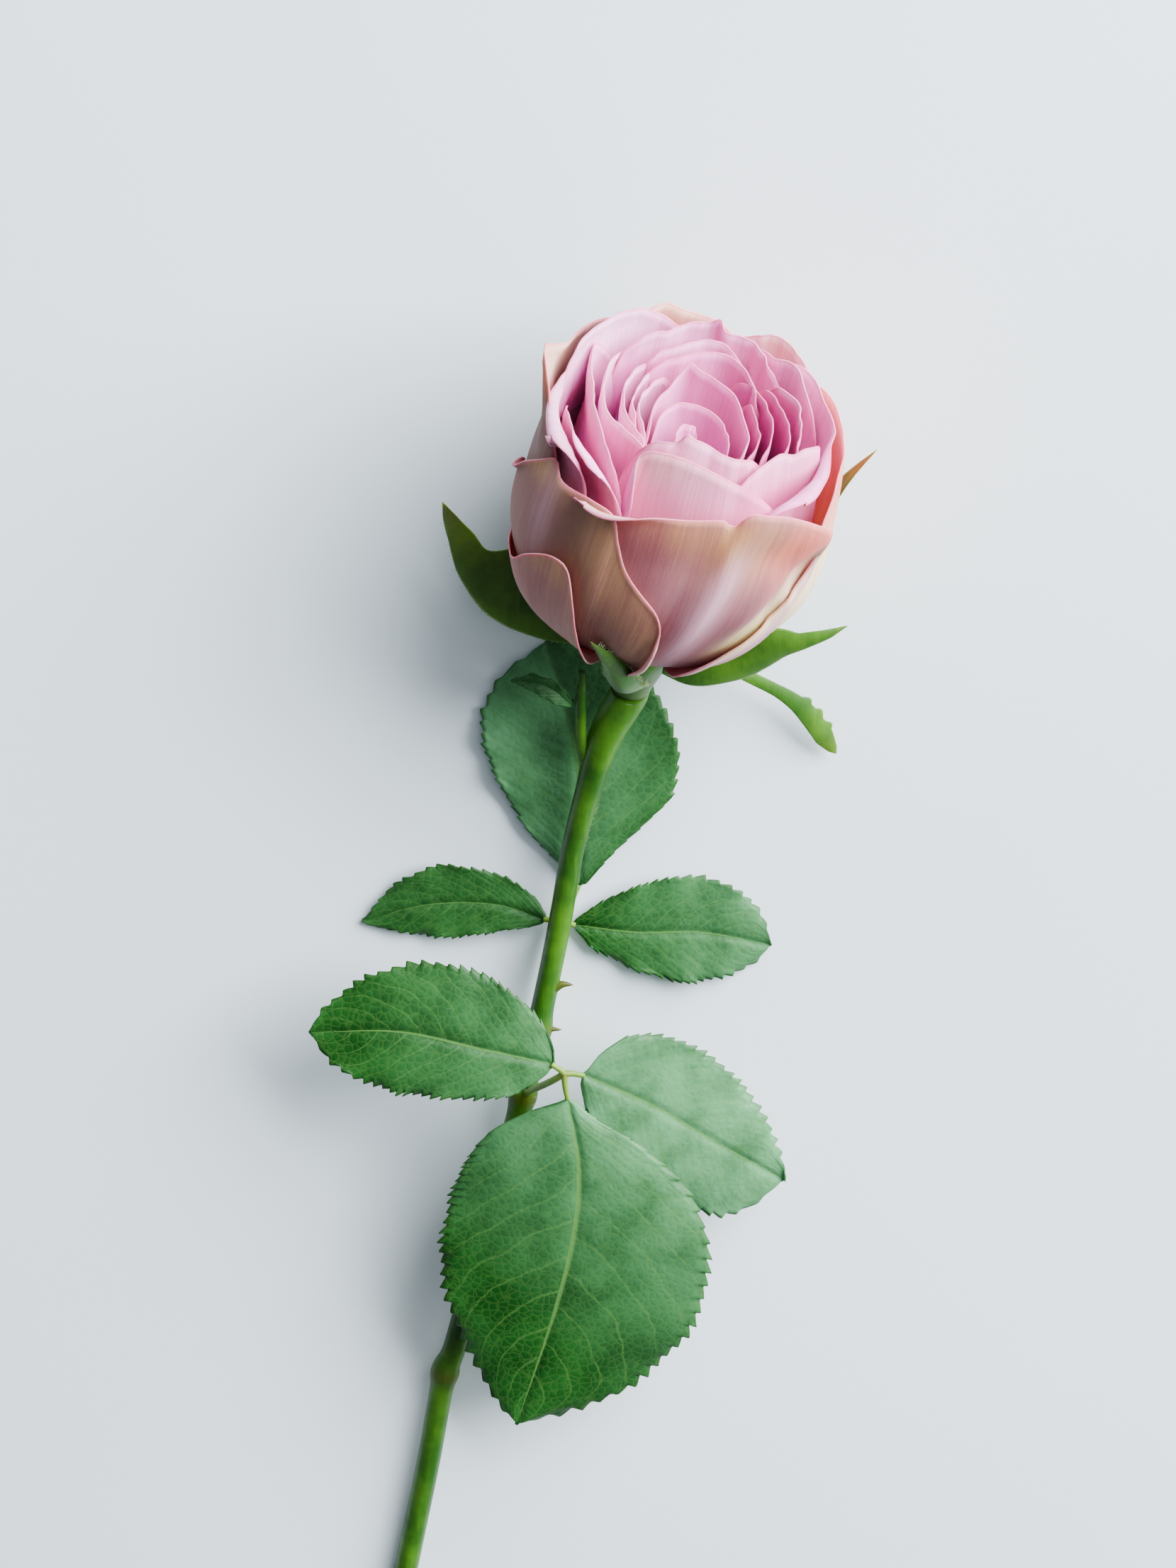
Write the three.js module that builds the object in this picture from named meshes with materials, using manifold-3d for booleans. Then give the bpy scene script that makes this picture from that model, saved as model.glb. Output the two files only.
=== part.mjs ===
// A cut rose lying on its side: a cupped, densely filled bloom on a leafy stem.
// Millimetres, +Z up. The bloom is at the +Y end and the plain cut end at the -Y end.
// Everything is drawn from the point where the petals are attached, then the finished
// flower is moved so that the middle of its underside is the origin.
import * as THREE from 'three';
import { mergeVertices } from 'three/addons/utils/BufferGeometryUtils.js';
import Module from 'manifold-3d';

const wasm = await Module();
wasm.setup();

// ---- Driving dimensions -------------------------------------------------------------
const BLOOM_RADIUS = 30.4; // widest radius of the second layer of guard petals
const LAYER_STEP = 1; // from one layer of petals to the next, measured at the widest
const PETAL_THICKNESS = 0.35;
const CUP_CLOSING = 0.12; // part of its radius that a petal leans in at the mouth
const CUP_DEPTH = 24; // mouth of the cup above its widest ring
const CUP_FULLNESS = 0.88; // 1 is a half sphere under the widest ring, less is fuller
const BLOOM_RISE = 25.5; // degrees from the table to the bloom's axis
const BLOOM_BEARING = 12.1; // degrees to +X from the +Y direction
const BLOOM_ROLL = -5.1; // degrees about its axis
const HIP_LENGTH = 17;
const HIP_RADIUS = 6.2;
const STEM_RADIUS = 2.3;
const PEDUNCLE_RADIUS = 3.9; // swollen top of the stem under the hip
const STEM_STRETCH = 1; // length of the stem, in its real lengths
const LEAF_SCALE = 1; // length and width of every leaflet
const LEAF_THICKNESS = 0.45;
const STALK_RADIUS = 0.75; // leaf stalks
const SHOOT_RADIUS = 1.05; // the thin side shoot
const SEPAL_THICKNESS = 0.7;
const GAP = 0.3; // between pieces that touch

const DEG = Math.PI / 180;
const UP = new THREE.Vector3(0, 0, 1);

// The widest ring of the second guard layer just clears the table.
const ATTACH_HEIGHT = BLOOM_RADIUS * (1 - Math.sin(BLOOM_RISE * DEG)) + PETAL_THICKNESS;

// ---- Finishes -----------------------------------------------------------------------
const FINISH = {
  guard_petal: { color: 0xb98a98, roughness: 0.6 },
  inner_petal: { color: 0xdba3cf, roughness: 0.6 },
  sepal: { color: 0x6f9a3c, roughness: 0.7 },
  leaf: { color: 0x3f7d4c, roughness: 0.5 },
  stem: { color: 0x4c7a26, roughness: 0.5 },
};

function named(name, slot, geometry) {
  const material = new THREE.MeshStandardMaterial({ ...FINISH[slot], metalness: 0 });
  const mesh = new THREE.Mesh(geometry, material);
  mesh.name = name;
  return mesh;
}

// ---- Solids -------------------------------------------------------------------------
const vec = (x, y, z) => new THREE.Vector3(x, y, z);
const mix = THREE.MathUtils.lerp;
const ease = THREE.MathUtils.smoothstep;

// Welds the corners and makes sure the faces look outwards.
function closed(geometry) {
  geometry.deleteAttribute('normal');
  geometry.deleteAttribute('uv');
  const solid = mergeVertices(geometry, 1e-4);
  const at = solid.getAttribute('position');
  const corners = solid.index.array;
  const [a, b, c] = [vec(), vec(), vec()];
  let volume = 0;
  for (let i = 0; i < corners.length; i += 3) {
    a.fromBufferAttribute(at, corners[i]);
    b.fromBufferAttribute(at, corners[i + 1]);
    c.fromBufferAttribute(at, corners[i + 2]);
    volume += a.dot(b.cross(c));
  }
  if (volume < 0) {
    for (let i = 0; i < corners.length; i += 3) {
      [corners[i], corners[i + 1]] = [corners[i + 1], corners[i]];
    }
  }
  solid.computeVertexNormals();
  return solid;
}

// Moves every corner of a geometry to the place a rule gives for it.
function reshaped(geometry, rule) {
  const at = geometry.getAttribute('position');
  const corner = vec();
  for (let i = 0; i < at.count; i += 1) {
    corner.fromBufferAttribute(at, i);
    const moved = rule(corner);
    at.setXYZ(i, moved.x, moved.y, moved.z);
  }
  return closed(geometry);
}

// A thin curved blade: across runs -1..1 from edge to edge, along runs 0..1 from base to tip.
function blade(cellsAcross, cellsAlong, thickness, surface) {
  const step = 1e-3;
  return reshaped(new THREE.BoxGeometry(2, 1, 2, cellsAcross, cellsAlong, 1), (corner) => {
    const across = corner.x;
    const along = corner.y + 0.5;
    const inside = (value) => THREE.MathUtils.clamp(value, step, 1 - step);
    const wide = surface(across + step, inside(along)).sub(surface(across - step, inside(along)));
    const far = surface(across, inside(along) + step).sub(surface(across, inside(along) - step));
    const outward = wide.cross(far).normalize();
    return surface(across, along).addScaledVector(outward, (corner.z * thickness) / 2);
  });
}

// A round rod along a curve, its radius given by stations of [distance from the start, radius].
function rod(curve, stations, sides) {
  const length = curve.getLength();
  const last = stations[stations.length - 1][0];
  const profile = stations.map(([distance, radius]) => new THREE.Vector2(radius, distance / last));
  profile.unshift(new THREE.Vector2(0, 0));
  profile.push(new THREE.Vector2(0, 1));
  return reshaped(new THREE.LatheGeometry(profile, sides), (corner) => {
    const place = THREE.MathUtils.clamp(corner.y, 0, 1) * Math.min(1, last / length);
    const tangent = curve.getTangentAt(place);
    const side = tangent.clone().cross(UP).normalize();
    const over = side.clone().cross(tangent);
    return curve.getPointAt(place).addScaledVector(side, corner.x).addScaledVector(over, corner.z);
  });
}

function toManifold(geometry) {
  return new wasm.Manifold(new wasm.Mesh({
    numProp: 3,
    vertProperties: new Float32Array(geometry.getAttribute('position').array),
    triVerts: new Uint32Array(geometry.index.array),
  }));
}

function fused(geometries) {
  const mesh = geometries.map(toManifold).reduce((whole, part) => whole.add(part)).getMesh();
  const result = new THREE.BufferGeometry();
  result.setAttribute('position', new THREE.BufferAttribute(new Float32Array(mesh.vertProperties), 3));
  result.setIndex(new THREE.BufferAttribute(new Uint32Array(mesh.triVerts), 1));
  result.computeVertexNormals();
  return result;
}

// ---- The bloom ----------------------------------------------------------------------
// Its own frame: +Z along the flower's axis, the petals attached at the origin.
// Turns count from the side that faces up on the table, positive to its +X side.
// Radius of a petal layer at a height above the attachment.
function layerRadius(radius, height) {
  const above = height - BLOOM_RADIUS;
  if (above >= 0) return radius * (1 - CUP_CLOSING * (above / CUP_DEPTH) ** 2);
  return radius * Math.sqrt(Math.max(1 - (above / radius) ** 2, 0)) ** CUP_FULLNESS;
}

function onBloom(turn, radius, height) {
  return vec(radius * Math.sin(turn * DEG), -radius * Math.cos(turn * DEG), height);
}

// A petal on one layer of the bloom: turn and half are degrees round the axis, over is its
// height over the widest ring, slope raises its far edge, round lowers both upper corners,
// roll turns the lip out, bulge swells its middle and drift moves it away from the axis.
// Layers that are closer together need more cells to stay clear of each other.
function petal({
  layer, turn, half, over, slope = 0, round = 0.1, roll = 0, bulge = 0, drift = 0, cells = [8, 7],
}) {
  const radius = BLOOM_RADIUS - layer * LAYER_STEP;
  const start = Math.asin(Math.min(3 / radius, 0.6));
  const bowl = radius * (Math.PI / 2 - start);
  const shortReach = radius * (Math.acos(-over / radius) - start);
  const fullReach = over < 0 ? shortReach : bowl + over;
  const [wide, long] = cells.map((count) => Math.ceil(count / LAYER_STEP));
  return blade(wide, long, PETAL_THICKNESS, (across, along) => {
    const reach = fullReach * along * (1 + slope * across - round * Math.abs(across) ** 3);
    const angle = start + Math.min(reach, bowl) / radius;
    const height = BLOOM_RADIUS - radius * Math.cos(angle) + Math.max(reach - bowl, 0);
    const width = half * mix(0.6, 1, ease(along, 0, 0.55));
    const lip = roll * ease(along, 0.8, 1) ** 2 + bulge * Math.sin(Math.PI * along);
    const place = onBloom(turn + width * across, layerRadius(radius, height) + lip, height);
    return place.add(vec(-drift, 0, 0));
  });
}

const GUARD_PETALS = {
  guard_low_left: { layer: -2, turn: -68, half: 38, over: -1.4, slope: 0.08, round: 0.12, bulge: 2 },
  guard_left: {
    layer: -1, turn: -53, half: 54, over: 17.6, slope: -0.16, round: 0.16, roll: 0.8, cells: [10, 8],
  },
  guard_front: { layer: 0, turn: 21, half: 60, over: 20.1, round: 0.12, cells: [10, 8] },
  guard_under: { layer: 0, turn: -150, half: 38, over: 26.6 },
  guard_back_left: { layer: 1, turn: -106, half: 42, over: 27.6, slope: -0.02, round: 0.08 },
  guard_right: { layer: 1, turn: 104, half: 50, over: 26.6, slope: 0.02, round: 0.12 },
};

const INNER_PETALS = {
  petal_back_right: { layer: 2, turn: 150, half: 33, over: 26.1 },
  petal_back_tall: { layer: 2, turn: -138, half: 38, over: 27.1 },
  petal_right_pale: { layer: 3, turn: 93, half: 44, over: 26.6, slope: 0.04 },
  petal_left_rolled: { layer: 3, turn: -76, half: 46, over: 18.6, slope: -0.03 },
  petal_back_ruffled: { layer: 4, turn: 178, half: 46, over: 26.6 },
  petal_left_second: { layer: 4, turn: -51, half: 42, over: 21.1 },
  petal_front: { layer: 5, turn: 9, half: 37, over: 25.1, slope: -0.05, round: 0.12 },
  petal_left_third: { layer: 5, turn: -82, half: 45, over: 22.6, slope: 0.02 },
  petal_back_second: { layer: 5, turn: 140, half: 42, over: 26.6 },
  petal_front_right: { layer: 6, turn: 58, half: 36, over: 26.6 },
  petal_back_third: { layer: 6, turn: -166, half: 48, over: 26.6 },
  petal_front_ruffled: { layer: 7, turn: 12, half: 42, over: 26.6 },
  petal_right_second: { layer: 7, turn: 112, half: 46, over: 26.6 },
  petal_left_fourth: { layer: 7, turn: -86, half: 46, over: 24.1 },
};

// The filled middle: each petal is one step further in and round than the one before.
const MIDDLE_COUNT = 13;
const MIDDLE_LAYER = 8.2;
const MIDDLE_SPACING = 1.42;
const MIDDLE_TURN = 137.5;
const CORE_DRIFT = 5; // the innermost petals sit off the axis

function middlePetal(index) {
  const inward = index / (MIDDLE_COUNT - 1);
  return {
    layer: MIDDLE_LAYER + index * MIDDLE_SPACING,
    turn: -95 + index * MIDDLE_TURN,
    half: mix(58, 120, inward ** 1.5),
    over: mix(24.6, 20.1, inward),
    drift: CORE_DRIFT * inward,
    round: 0.08,
    cells: [8, 5],
  };
}

// ---- Hip and sepals -----------------------------------------------------------------
const HIP_TOP = -2 * LAYER_STEP - PETAL_THICKNESS - 0.6;

function hip() {
  const profile = [
    [0, -HIP_LENGTH],
    [PEDUNCLE_RADIUS, -HIP_LENGTH],
    [HIP_RADIUS * 0.76, -HIP_LENGTH * 0.8],
    [HIP_RADIUS * 0.93, -HIP_LENGTH * 0.55],
    [HIP_RADIUS, -HIP_LENGTH * 0.36],
    [HIP_RADIUS * 0.92, HIP_TOP - 1.2],
    [HIP_RADIUS * 0.6, HIP_TOP],
    [0, HIP_TOP],
  ].map(([radius, height]) => new THREE.Vector2(radius, height));
  return closed(new THREE.LatheGeometry(profile, 16).rotateX(Math.PI / 2));
}

// A point just outside the guard petals, so that a sepal can lie against the cup.
function besideCup(turn, height, clearance) {
  return [turn, layerRadius(BLOOM_RADIUS + 2 * LAYER_STEP, height) + clearance, height];
}

// A sepal along points [turn, radius, height] of the bloom's frame, half as wide as given,
// its sides folded up like a boat's.
function sepal({ path, half, fold = 0.35, cells = 9 }) {
  const points = path.map(([turn, radius, height]) => onBloom(turn, radius, height));
  const curve = new THREE.CatmullRomCurve3(points);
  return blade(4, cells, SEPAL_THICKNESS, (across, along) => {
    const tangent = curve.getTangentAt(along);
    const side = tangent.clone().cross(UP).normalize();
    const over = side.clone().cross(tangent);
    const width = half * (0.12 + 0.88 * Math.sin(Math.PI * along ** 0.75) ** 0.9);
    const lift = fold * width * across * across;
    return curve.getPointAt(along).addScaledVector(side, width * across).addScaledVector(over, lift);
  });
}

const SEPAL_FOOT = HIP_RADIUS + SEPAL_THICKNESS / 2 + GAP;
const SEPALS = {
  sepal_left: {
    path: [[-95, SEPAL_FOOT, -5.5], [-93, 14, -7.5], [-88, 27, -4.5], [-90, 35, 0.5], [-92, 44, 13]],
    half: 5,
  },
  sepal_front: {
    path: [
      [-12, SEPAL_FOOT, -5.5],
      [-6, 14, -4.5],
      [-4, 23, 0.6],
      besideCup(-10, 8, 3),
      besideCup(-18, 17, 3),
    ],
    half: 3.6,
  },
  sepal_right: {
    path: [[52, SEPAL_FOOT, -5.5], [70, 14, -6], [86, 24, -0.5], [92, 31, 5], [95, 38, 9.5]],
    half: 4.6,
  },
  sepal_reflexed: {
    path: [[112, SEPAL_FOOT, -6.5], [110, 14, -9.5], [106, 24, -12.5], [103, 35, -17.5], [100, 44.5, -27]],
    half: 1.9,
  },
  sepal_far_right: {
    path: [
      [163, SEPAL_FOOT, -5.5],
      [152, 16, -3.5],
      besideCup(136, 8, 3),
      besideCup(124, 20, 2.5),
      besideCup(119, 36, 5),
    ],
    half: 3.4,
    cells: 11,
  },
};

// The bloom rises from the table by a quarter of a right angle and turns a little to +X.
function bloomFrame() {
  const level = Math.cos(BLOOM_RISE * DEG);
  const axis = vec(
    level * Math.sin(BLOOM_BEARING * DEG),
    level * Math.cos(BLOOM_BEARING * DEG),
    Math.sin(BLOOM_RISE * DEG),
  );
  const side = vec(Math.cos(BLOOM_BEARING * DEG), -Math.sin(BLOOM_BEARING * DEG), 0);
  const under = axis.clone().cross(side);
  const group = new THREE.Group();
  group.quaternion.setFromRotationMatrix(new THREE.Matrix4().makeBasis(side, under, axis));
  group.rotateZ(BLOOM_ROLL * DEG);
  group.position.set(0, 0, ATTACH_HEIGHT);
  return group;
}

// ---- Stem ---------------------------------------------------------------------------
// A point of the stem's middle line, so far above where it would touch the table.
const lying = (x, y, above) => vec(x, y, STEM_RADIUS + above);
const STRETCH_FROM = lying(-11.5, -36.7, 6.5);

// Where a point of the stem goes when the stem is stretched.
function stretched(point) {
  if (point.y > STRETCH_FROM.y) return point;
  const x = mix(STRETCH_FROM.x, point.x, STEM_STRETCH);
  const y = mix(STRETCH_FROM.y, point.y, STEM_STRETCH);
  return vec(x, y, point.z);
}

// How far a thing on the stem moves with it.
const carried = (point) => stretched(point).sub(point);

// From under the hip to the cut end: gently curved, sinking to the table.
function stemCurve(start, below) {
  const path = [
    start,
    below,
    lying(-8.1, -25.4, 7.2),
    STRETCH_FROM,
    lying(-14.9, -50.6, 5.7),
    lying(-17.5, -66.2, 4.9),
    lying(-20.6, -82.3, 4.3),
    lying(-25.6, -106.1, 3.5),
    lying(-32.6, -134, 2.7),
    lying(-39.9, -162.9, 1.9),
    lying(-42.6, -171, 1.7),
    lying(-46.4, -192.4, 1.2),
    lying(-51.6, -218.4, 0.6),
    lying(-55.9, -239.9, 0.2),
  ];
  return new THREE.CatmullRomCurve3(path.map(stretched));
}

// Stations of the stem: the funnel under the hip, then plain stem with a swelling at each joint.
function stemStations(length, joints) {
  const stations = [[0, 1], [7, 0.94], [16, 0.5], [26, 0.12], [36, 0]].map(([distance, swell]) => {
    return [distance, mix(STEM_RADIUS, PEDUNCLE_RADIUS, swell)];
  });
  for (let distance = 50; distance < length - 6; distance += 14) {
    stations.push([distance, STEM_RADIUS + 0.0012 * distance]);
  }
  joints.forEach((joint) => {
    [[-2.6, 1.04], [-0.8, 1.24], [0.9, 1.2], [2.8, 1.02]].forEach(([offset, swell]) => {
      stations.push([joint + offset, STEM_RADIUS * swell]);
    });
  });
  stations.push([length, STEM_RADIUS * 1.07]);
  return stations.sort((one, other) => one[0] - other[0]).filter(([distance], index, all) => {
    return index === all.length - 1 || all[index + 1][0] - distance > 0.7;
  });
}

// Distance along a curve of its point nearest to a place.
function distanceTo(curve, place) {
  const length = curve.getLength();
  let best = 0;
  for (let step = 0; step <= 600; step += 1) {
    const nearer = curve.getPointAt(step / 600).distanceTo(place);
    if (nearer < curve.getPointAt(best / 600).distanceTo(place)) best = step;
  }
  return (best / 600) * length;
}

function thorn(root, tip, radius) {
  const height = root.distanceTo(tip);
  const lean = new THREE.Quaternion().setFromUnitVectors(vec(0, 1, 0), tip.clone().sub(root).normalize());
  const cone = new THREE.ConeGeometry(radius, height, 8, 1);
  cone.translate(0, height / 2, 0);
  cone.applyQuaternion(lean);
  cone.translate(root.x, root.y, root.z);
  return closed(cone);
}

// ---- Leaves -------------------------------------------------------------------------
const TOOTH = 0.045; // depth of a tooth in half widths

// A leaflet along its midrib. Roll turns it about the midrib, arch drops its sides.
function leaflet({ rib, half, teeth = 13, roll = 0, arch = 0.12, lobes = 0.25 }) {
  const [root, ...rest] = rib;
  const grown = rest.map((point) => root.clone().lerp(point, LEAF_SCALE));
  const curve = new THREE.CatmullRomCurve3([root, ...grown]);
  const length = curve.getLength();
  return blade(4, teeth * 2, LEAF_THICKNESS, (across, along) => {
    const station = Math.round(along * teeth * 2);
    const tangent = curve.getTangentAt(along);
    const side = tangent.clone().cross(UP).normalize().applyAxisAngle(tangent, roll * DEG);
    const over = side.clone().cross(tangent);
    const outline = Math.sin(Math.PI * along ** 0.9) ** 0.62;
    const notch = Math.abs(across) > 0.9 && station % 2 === 0 ? 1 - TOOTH : 1;
    const width = Math.max(half * LEAF_SCALE * outline * notch, 0.35);
    const back = lobes * width * Math.abs(across) * (1 - ease(along, 0, 0.3)) * 0.4;
    const drop = -arch * width * across * across;
    return curve.getPointAt(along)
      .addScaledVector(tangent, -Math.min(back, length * 0.05))
      .addScaledVector(side, width * across)
      .addScaledVector(over, drop);
  });
}

const FRONT_JOINT = lying(-25.4, -105.1, 3.55); // where the upper leaf leaves the stem
const FRONT_FORK = vec(-16.6, -94.1, 21); // where its leaflets meet
const REAR_JOINT = lying(-22.2, -90, 4); // where the leaf under the stem leaves it
const REAR_FORK = vec(-17.9, -67.6, 2.4);
const BARE_JOINT = lying(-42.4, -170.3, 1.7); // a joint with no leaf
const PRICKLE_ROOT = lying(-20, -81.6, 4.4);
const PRICKLE_TIP = lying(-15.2, -79.4, 5.3);

const LEAFLETS = {
  leaf_top_end: {
    rib: [
      vec(-15.9, -99.6, 20.7),
      vec(-13.6, -114, 21.4),
      vec(-14.5, -129, 21),
      vec(-18.6, -148, 19.4),
      vec(-27, -177, 15.5),
    ],
    half: 27.5,
    teeth: 17,
    lobes: 0.6,
  },
  leaf_top_left: {
    rib: [vec(-18.6, -92, 21.4), vec(-32, -88.6, 22.3), vec(-50, -84.6, 22), vec(-68.4, -85.7, 19.6)],
    half: 14,
    roll: -8,
  },
  leaf_top_right: {
    rib: [vec(-12.9, -94.6, 20.4), vec(2, -103.3, 16.8), vec(16.1, -113.5, 13.4), vec(29.2, -122.9, 9.8)],
    half: 14.6,
    roll: 6,
  },
  leaf_low_end: {
    rib: [vec(-13.6, -60.2, 2.4), vec(-13.2, -46, 2.8), vec(-14.6, -29, 2.6), vec(-20, -8, 1.6)],
    half: 20,
    teeth: 14,
    arch: 0.08,
  },
  leaf_low_left: {
    rib: [vec(-20.4, -67.6, 2.5), vec(-31, -64, 3), vec(-45, -64.2, 2.6), vec(-58.4, -68.5, 1)],
    half: 8.4,
    teeth: 11,
    arch: 0.1,
  },
  leaf_low_right: {
    rib: [vec(-14.9, -68.7, 2.5), vec(-2, -70.2, 3), vec(12, -70.4, 2.6), vec(26.2, -73.8, 1)],
    half: 11.6,
    teeth: 12,
    arch: 0.1,
  },
};

// A leaf stalk from the stem to the fork, and a short stalk to each of its three leaflets.
function leafStalk(joint, direction, fork, ends) {
  const root = joint.clone().addScaledVector(direction, STEM_RADIUS * 1.24 + STALK_RADIUS + GAP);
  const middle = root.clone().lerp(fork, 0.5).addScaledVector(direction, 1.2);
  const stalk = new THREE.CatmullRomCurve3([root, middle, fork]);
  const long = stalk.getLength();
  const parts = [rod(stalk, [[0, STALK_RADIUS * 1.5], [3, STALK_RADIUS], [long, STALK_RADIUS]], 6)];
  ends.forEach((end) => {
    const clear = end.clone().lerp(fork, GAP / fork.distanceTo(end) + 0.03);
    const short = new THREE.CatmullRomCurve3([fork, clear]);
    const away = short.getLength();
    parts.push(rod(short, [[0, STALK_RADIUS * 1.1], [away, STALK_RADIUS * 0.6]], 6));
  });
  parts.push(stipule(stalk));
  return fused(parts);
}

// The two ear-shaped wings at the foot of a leaf stalk.
function stipule(stalk) {
  return blade(4, 6, 0.45, (across, along) => {
    const place = 0.04 + 0.4 * along;
    const tangent = stalk.getTangentAt(place);
    const side = tangent.clone().cross(UP).normalize();
    const width = STALK_RADIUS * (1.6 + 0.7 * Math.sin(Math.PI * along)) + 0.9 * ease(along, 0.7, 1);
    return stalk.getPointAt(place).addScaledVector(side, width * across);
  });
}

// ---- Assembly -----------------------------------------------------------------------
const flower = new THREE.Group();
const bloom = bloomFrame();
flower.add(bloom);

Object.entries(GUARD_PETALS).forEach(([name, shape]) => {
  bloom.add(named(name, 'guard_petal', petal(shape)));
});
Object.entries(INNER_PETALS).forEach(([name, shape]) => {
  bloom.add(named(name, 'inner_petal', petal(shape)));
});
for (let index = 0; index < MIDDLE_COUNT; index += 1) {
  const name = `petal_middle_${String(index + 1).padStart(2, '0')}`;
  bloom.add(named(name, 'inner_petal', petal(middlePetal(index))));
}
bloom.add(named('hip', 'sepal', hip()));
Object.entries(SEPALS).forEach(([name, shape]) => {
  bloom.add(named(name, 'sepal', sepal(shape)));
});

flower.updateMatrixWorld(true);
const stemTop = vec(0, 0, -HIP_LENGTH - GAP).applyMatrix4(bloom.matrixWorld);
const belowTop = vec(0, 0, -HIP_LENGTH - GAP - 2.5).applyMatrix4(bloom.matrixWorld);
const stalkCurve = stemCurve(stemTop, belowTop);
const stemLength = stalkCurve.getLength();
const leafJoints = [REAR_JOINT, FRONT_JOINT, BARE_JOINT];
const joints = leafJoints.map((place) => distanceTo(stalkCurve, stretched(place)));
const mainStem = rod(stalkCurve, stemStations(stemLength, joints), 12);

// The side shoot forks off below the hip and ends as a pinched stub.
const shootCurve = new THREE.CatmullRomCurve3([
  vec(-11.6, -34.5, 8.9),
  vec(-13, -27, 9.9),
  vec(-13.3, -19, 12.3),
  vec(-13, -10.5, 15.4),
]);
const shootLength = shootCurve.getLength();
const sideShoot = rod(shootCurve, [
  [0, SHOOT_RADIUS * 1.3],
  [6, SHOOT_RADIUS],
  [shootLength - 3, SHOOT_RADIUS],
  [shootLength, SHOOT_RADIUS * 0.5],
], 8);
const prickle = thorn(PRICKLE_ROOT, PRICKLE_TIP, STEM_RADIUS * 0.48);
prickle.translate(...carried(PRICKLE_ROOT).toArray());
flower.add(named('stem', 'stem', fused([mainStem, sideShoot, prickle])));

// A small bract leaf stands where the side shoot narrows.
flower.add(named('side_bract', 'leaf', leaflet({
  rib: [vec(-14.9, -18.4, 12.6), vec(-19, -14.4, 14.6), vec(-23, -12.6, 15.4), vec(-27, -12.6, 14.8)],
  half: 2.4,
  teeth: 5,
  arch: 0.2,
  lobes: 0,
})));

// Each compound leaf stays with its joint on the stem.
function compoundLeaf(place, joint, direction, fork) {
  const leaf = new THREE.Group();
  const names = ['end', 'left', 'right'].map((side) => `leaf_${place}_${side}`);
  names.forEach((name) => leaf.add(named(name, 'leaf', leaflet(LEAFLETS[name]))));
  const roots = names.map((name) => LEAFLETS[name].rib[0]);
  leaf.add(named(`leaf_stalk_${place}`, 'stem', leafStalk(joint, direction, fork, roots)));
  leaf.position.copy(carried(joint));
  return leaf;
}

flower.add(compoundLeaf('top', FRONT_JOINT, vec(0.2, 0.1, 0.97).normalize(), FRONT_FORK));
flower.add(compoundLeaf('low', REAR_JOINT, vec(0.75, 0, -0.66).normalize(), REAR_FORK));

// The middle of the underside becomes the origin.
const bounds = new THREE.Box3().setFromObject(flower, true);
const middle = bounds.getCenter(vec());
flower.position.set(-middle.x, -middle.y, -bounds.min.z);

const part = new THREE.Group();
part.name = 'cut_rose';
part.add(flower);
part.updateMatrixWorld(true);

export default part;
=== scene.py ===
"""A cut garden rose lying on a pale table: bloom, calyx, stem and two compound leaves."""

import logging
import math
from dataclasses import dataclass, field
from enum import Enum
from typing import Callable, Sequence

import bmesh
import bpy
import numpy as np
from mathutils import Matrix, Vector


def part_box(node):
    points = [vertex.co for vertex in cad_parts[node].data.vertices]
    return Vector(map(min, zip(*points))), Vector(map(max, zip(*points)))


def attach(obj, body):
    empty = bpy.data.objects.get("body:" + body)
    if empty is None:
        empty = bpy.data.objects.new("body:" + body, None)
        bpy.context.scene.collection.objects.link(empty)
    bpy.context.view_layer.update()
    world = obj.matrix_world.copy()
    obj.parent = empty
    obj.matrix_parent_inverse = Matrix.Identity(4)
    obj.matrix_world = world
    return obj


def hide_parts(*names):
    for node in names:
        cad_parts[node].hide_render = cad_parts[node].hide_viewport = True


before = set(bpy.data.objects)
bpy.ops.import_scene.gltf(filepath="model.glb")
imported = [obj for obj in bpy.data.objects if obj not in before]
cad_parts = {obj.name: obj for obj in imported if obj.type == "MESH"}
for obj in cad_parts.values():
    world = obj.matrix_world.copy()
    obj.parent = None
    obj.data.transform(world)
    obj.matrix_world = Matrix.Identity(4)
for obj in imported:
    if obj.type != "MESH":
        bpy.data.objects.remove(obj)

LOG = logging.getLogger("rose")
MM = 0.001
BODY = "root"
HIP_TO_ATTACH = Vector((1.254, 8.845, 3.742))  # mm from the middle of the hip box to the petals' seat
SEAT_HEIGHT = 17.6625  # mm, the petals' seat above the table
WIDEST = 30.4  # mm along the bloom from the seat to the widest ring
CLOSING = 0.12  # share of the radius lost 24 mm above the widest ring
CLOSING_RUN = 24.0
FULLNESS = 0.88
TOP_OF_CUP = 68.0
UP = np.array((0.0, 0.0, 1.0))
FULL_TURN = 6.28  # radians, for random phases
HAIR_TIP = 0.008  # mm, radius of a hair at its tip
WELD = 1e-7  # metres within which doubles are merged
BLOOM_AXIS = (0.18929, 0.88261, 0.43032)  # from the hip out through the middle of the bloom
BLOOM_SIDE = (0.96593, -0.24615, 0.07998)  # across the bloom, towards +X
BLOOM_UNDER = (0.17652, 0.40052, -0.89913)  # across the bloom, towards the table


class Slot(Enum):
    """The record's material slots."""

    GUARD = "guard_petal"
    INNER = "inner_petal"
    SEPAL = "sepal"
    LEAF = "leaf"
    STEM = "stem"


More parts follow.
